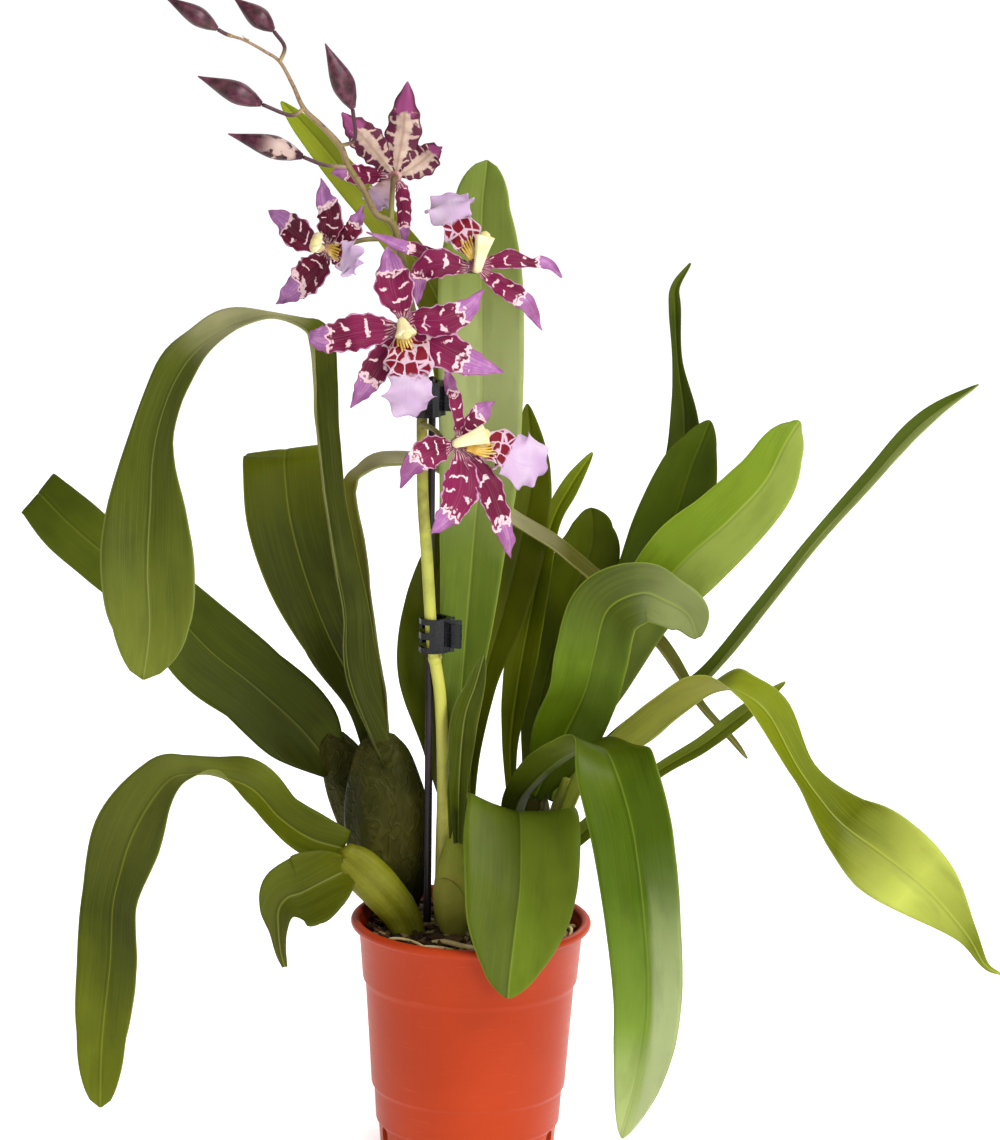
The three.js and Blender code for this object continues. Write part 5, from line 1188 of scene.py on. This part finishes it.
def add_spike():
    shell, bracts = Shell(), Shell()
    slim = [(x, y, z, radius * (1 - 0.2 * ease(z, 410, 490) - 0.18 * ease(z, 500, 560)))
            for x, y, z, radius in SPIKE_ROWS]
    tube(shell, slim, sides=28, stations=220)
    for bloom in BLOOMS.values():
        tube(shell, stalk_rows(bloom), sides=18, stations=36, slot=1)
    for _, _, stalk in BUDS.values():
        tube(shell, [(*point, BUD_STALK_RADIUS) for point in stalk], sides=16, stations=24, slot=2)
    for share in SPIKE_NODES:
        middle, along, radius = spot_on(SPIKE_ROWS, share)
        tube(shell, rows_on(middle, along, [(way, radius * swell) for way, swell in NODE_SWELLS]),
             sides=24, stations=14)
    looks = [spike_look(), stalk_look("bloom_stalk", "7f7a3a", "5a4a2a"),
             stalk_look("bud_stalk", "a08a60", "44262c")]
    ride(shell.build("spike_and_stalks", looks), "spike", "flower_spike")
    for share, turn, length in BRACTS:
        middle, along, radius = spot_on(slim, share)
        turn = math.radians(turn)
        out = unit(np.cross(along, (math.sin(turn), math.cos(turn), 0.2)))
        start = middle + out * (radius - 0.1)
        rows = [(*(start + along * length * k + out * 1.2 * k * k), 1.5 * (1 - k) ** 0.6 + 0.1)
                for k in (0, 0.35, 0.7, 1)]
        blade(bracts, rows, (30, 20), facing=out, stations=18, across=9, thickness=0.4, slots=(0, 0))
    dry = mottled_look("bract_skin", ("8a7a40", "a89a58", "c2b47a"), 120.0, 0.55)
    ride(bracts.build("spike_bracts", [dry]), "spike")


def add_buds():
    dark, patched = bud_look("bud_dark", False), bud_look("bud_patched", True)
    for name, (tip, radius, stalk) in BUDS.items():
        base = np.array(stalk[-1], float)
        start = base + unit(base - np.array(stalk[-2])) * 2 * GAP
        swells_along = [(way, swell * radius) for way, swell in BUD_SWELLS]
        rows = rows_on(start, np.array(tip, float) - start, swells_along)
        shell = Shell()
        tube(shell, rows, sides=42, stations=50,
             section=lambda a, t: 1 + 0.09 * np.cos(3 * a) - 0.07 * np.abs(np.cos(1.5 * a + 0.4)) ** 12)
        ride(shell.build(name + "_skin", [patched if name == "bud_lower" else dark]), "bud", name)


def add_star(name, bloom, middle, front, looks):
    """The tepals on their hub."""
    shell = Shell()
    for k, rows in enumerate(bloom["tepals"]):
        out = unit(np.array(rows[0][:3]) - middle)
        start = (*(middle + out * HUB_RADIUS * 0.6), HUB_RADIUS * 0.45)
        rows = [start] + [(x, y, z, w * 1.1) for x, y, z, w in rows]
        blade(shell, rows, (14, 10), facing=front, stations=TEPAL_STATIONS, across=TEPAL_ACROSS,
              thickness=PETAL_THICKNESS, wave=(0.9, 3.5 + 0.4 * k), frill=(0.07, 6 + k), groove=0.12,
              slots=(0, 0) if k in bloom.get("turned", ()) else (0, 1))
    tube(shell, rows_on(middle, front, HUB_ROWS), sides=24, stations=14, slot=2)
    ride(shell.build(name + "_star", looks["tepal"]), "tepal", name + "_tepals")


def add_lip(name, bloom, middle, front, looks):
    """The ruffled lip and the ridges of its crest."""
    start = middle + front * (HUB_FRONT + GAP + 0.8)
    out = np.array(bloom["lip"][0][:3]) - start
    out = unit(out - front * (out @ front))
    rows = [(*(start + out * 2.9), 1.6), *bloom["lip"]]
    shell, crest = Shell(), Shell()
    blade(shell, rows, (8, -8), facing=front, stations=64, across=31, thickness=PETAL_THICKNESS,
          wave=(2.6, 4.7), frill=(0.1, 5.6))
    ride(shell.build(name + "_fan", looks["lip"]), "lip", name + "_lip")
    points, _, side, normal = frames_along(np.array(rows)[:3, :3], 13, front)
    for shift, height, length in CREST_RIDGES:
        ridge = []
        for k in range(1, length):
            rise = 0.6 + height * math.sin(k / length * 3)
            ridge.append((*(points[k] + side[k] * shift * (0.5 + 0.1 * k) + normal[k] * rise), 1.0 - 0.06 * k))
        tube(crest, ridge, sides=12, stations=24, facing=front)
    ride(crest.build(name + "_crest", looks["crest"]), "column")


def add_column(name, bloom, middle, front, looks):
    """The hooded column and its cap."""
    away = middle - np.array(bloom["lip"][0][:3])
    away = unit(away - front * (away @ front))
    start = middle + front * (HUB_FRONT + 2 * GAP) + away * 1.9
    straight = start + front * 2.5
    tip = np.array(bloom["column_tip"], float)
    along = unit(tip - straight)
    shell = Shell()
    tube(shell, [(*start, 1.5), (*straight, 1.7), (*(straight + tip) / 2, 2.1), (*tip, 2.7)], sides=40,
         stations=30, facing=away,
         section=lambda a, t: 1 + 0.95 * t * np.abs(np.cos(a)) ** 3 + 0.06 * t * np.cos(7 * a))
    tube(shell, rows_on(tip, along, CAP_ROWS), sides=24, stations=16, facing=away, slot=1)
    ride(shell.build(name + "_hood", looks["column"]), "column", name + "_column")


def add_blooms():
    magenta = tepal_look("tepal_magenta", "5c042c", "741040", "dcbabe", "925a92", "c795b4")
    wine = tepal_look("tepal_wine", "48001c", "5e0428", "dcbabe", "8e5a90", "c795b4")
    back = reverse_look("tepal_reverse", "bda494", "500c2c", "8a386c")
    crest, column, cap, hub = (mottled_look(name, *values, 0.5) for name, values in BLOOM_SKINS.items())
    looks = {"lip": [lip_look("lip_front", True), lip_look("lip_back", False)], "crest": [crest],
             "column": [column, cap]}
    for name, bloom in BLOOMS.items():
        looks["tepal"] = [wine if name == "bloom_left" else magenta, back, hub]
        middle, front = np.array(bloom["centre"], float), unit(np.array(bloom["facing"], float))
        for add in (add_star, add_lip, add_column):
            add(name, bloom, middle, front, looks)


# The stake and its clips

def add_stake():
    skin = mottled_look("stake_skin", ("120b10", "1f1419", "2c1f26"), 60.0, 0.3)
    shell = Shell()
    tube(shell, STAKE, sides=28, stations=60)
    ride(shell.build("stake_rod", [skin]), "stake", "stake")


def finish_clips():
    plastic = mottled_look("clip_plastic", ("08080a", "101013", "1c1c20"), 80.0, 0.16)
    for name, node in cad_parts.items():
        if name.startswith("clip_"):
            node.data.materials.clear()
            node.data.materials.append(plastic)
            edge = node.modifiers.new("edge", "BEVEL")
            edge.width, edge.segments, edge.limit_method = 0.35 * MM, 3, "ANGLE"


# Floor, light and camera

def add_floor():
    ring = circle(96)
    shell = Shell()
    shell.add(np.stack([np.cos(ring), np.sin(ring), 0 * ring], -1) * FLOOR_RADIUS, [[list(range(96))]])
    look = Look("floor_paper", Base_Color="f4f4f4", Roughness=0.95, Specular_IOR_Level=0.1,
                Emission_Color=WHITE, Emission_Strength=0.58)
    shell.build("floor", [look.material])


def add_light():
    world = bpy.data.worlds.new("studio")
    world.use_nodes = True
    colour, strength = world.node_tree.nodes["Background"].inputs[:2]
    colour.default_value, strength.default_value = WHITE, 0.5
    bpy.context.scene.world = world
    for name, (place, size, power) in LAMPS.items():
        lamp = bpy.data.lights.new(name, "AREA")
        lamp.size, lamp.energy = size, power
        holder = bpy.data.objects.new(name, lamp)
        holder.location = place
        holder.rotation_euler = (Vector(LAMP_AIM) - Vector(place)).to_track_quat("-Z", "Y").to_euler()
        bpy.context.scene.collection.objects.link(holder)


def add_camera():
    data = bpy.data.cameras.new("camera")
    data.lens, data.sensor_width, data.sensor_fit = CAMERA_LENS, CAMERA_SENSOR, "AUTO"
    data.clip_end = CAMERA_REACH
    camera = bpy.data.objects.new("camera", data)
    pitch = Matrix.Rotation(math.radians(90 - CAMERA_PITCH), 4, "X")
    roll = Matrix.Rotation(math.radians(CAMERA_ROLL), 4, "Z")
    camera.matrix_world = Matrix.Translation(CAMERA_PLACE) @ pitch @ roll
    bpy.context.scene.collection.objects.link(camera)
    bpy.context.scene.camera = camera
    bpy.context.scene.view_settings.view_transform = "Standard"


add_camera()
add_light()
add_floor()
add_pot()
add_mix()
add_roots()
add_bulbs()
add_leaves()
add_spike()
add_buds()
add_blooms()
add_stake()
finish_clips()
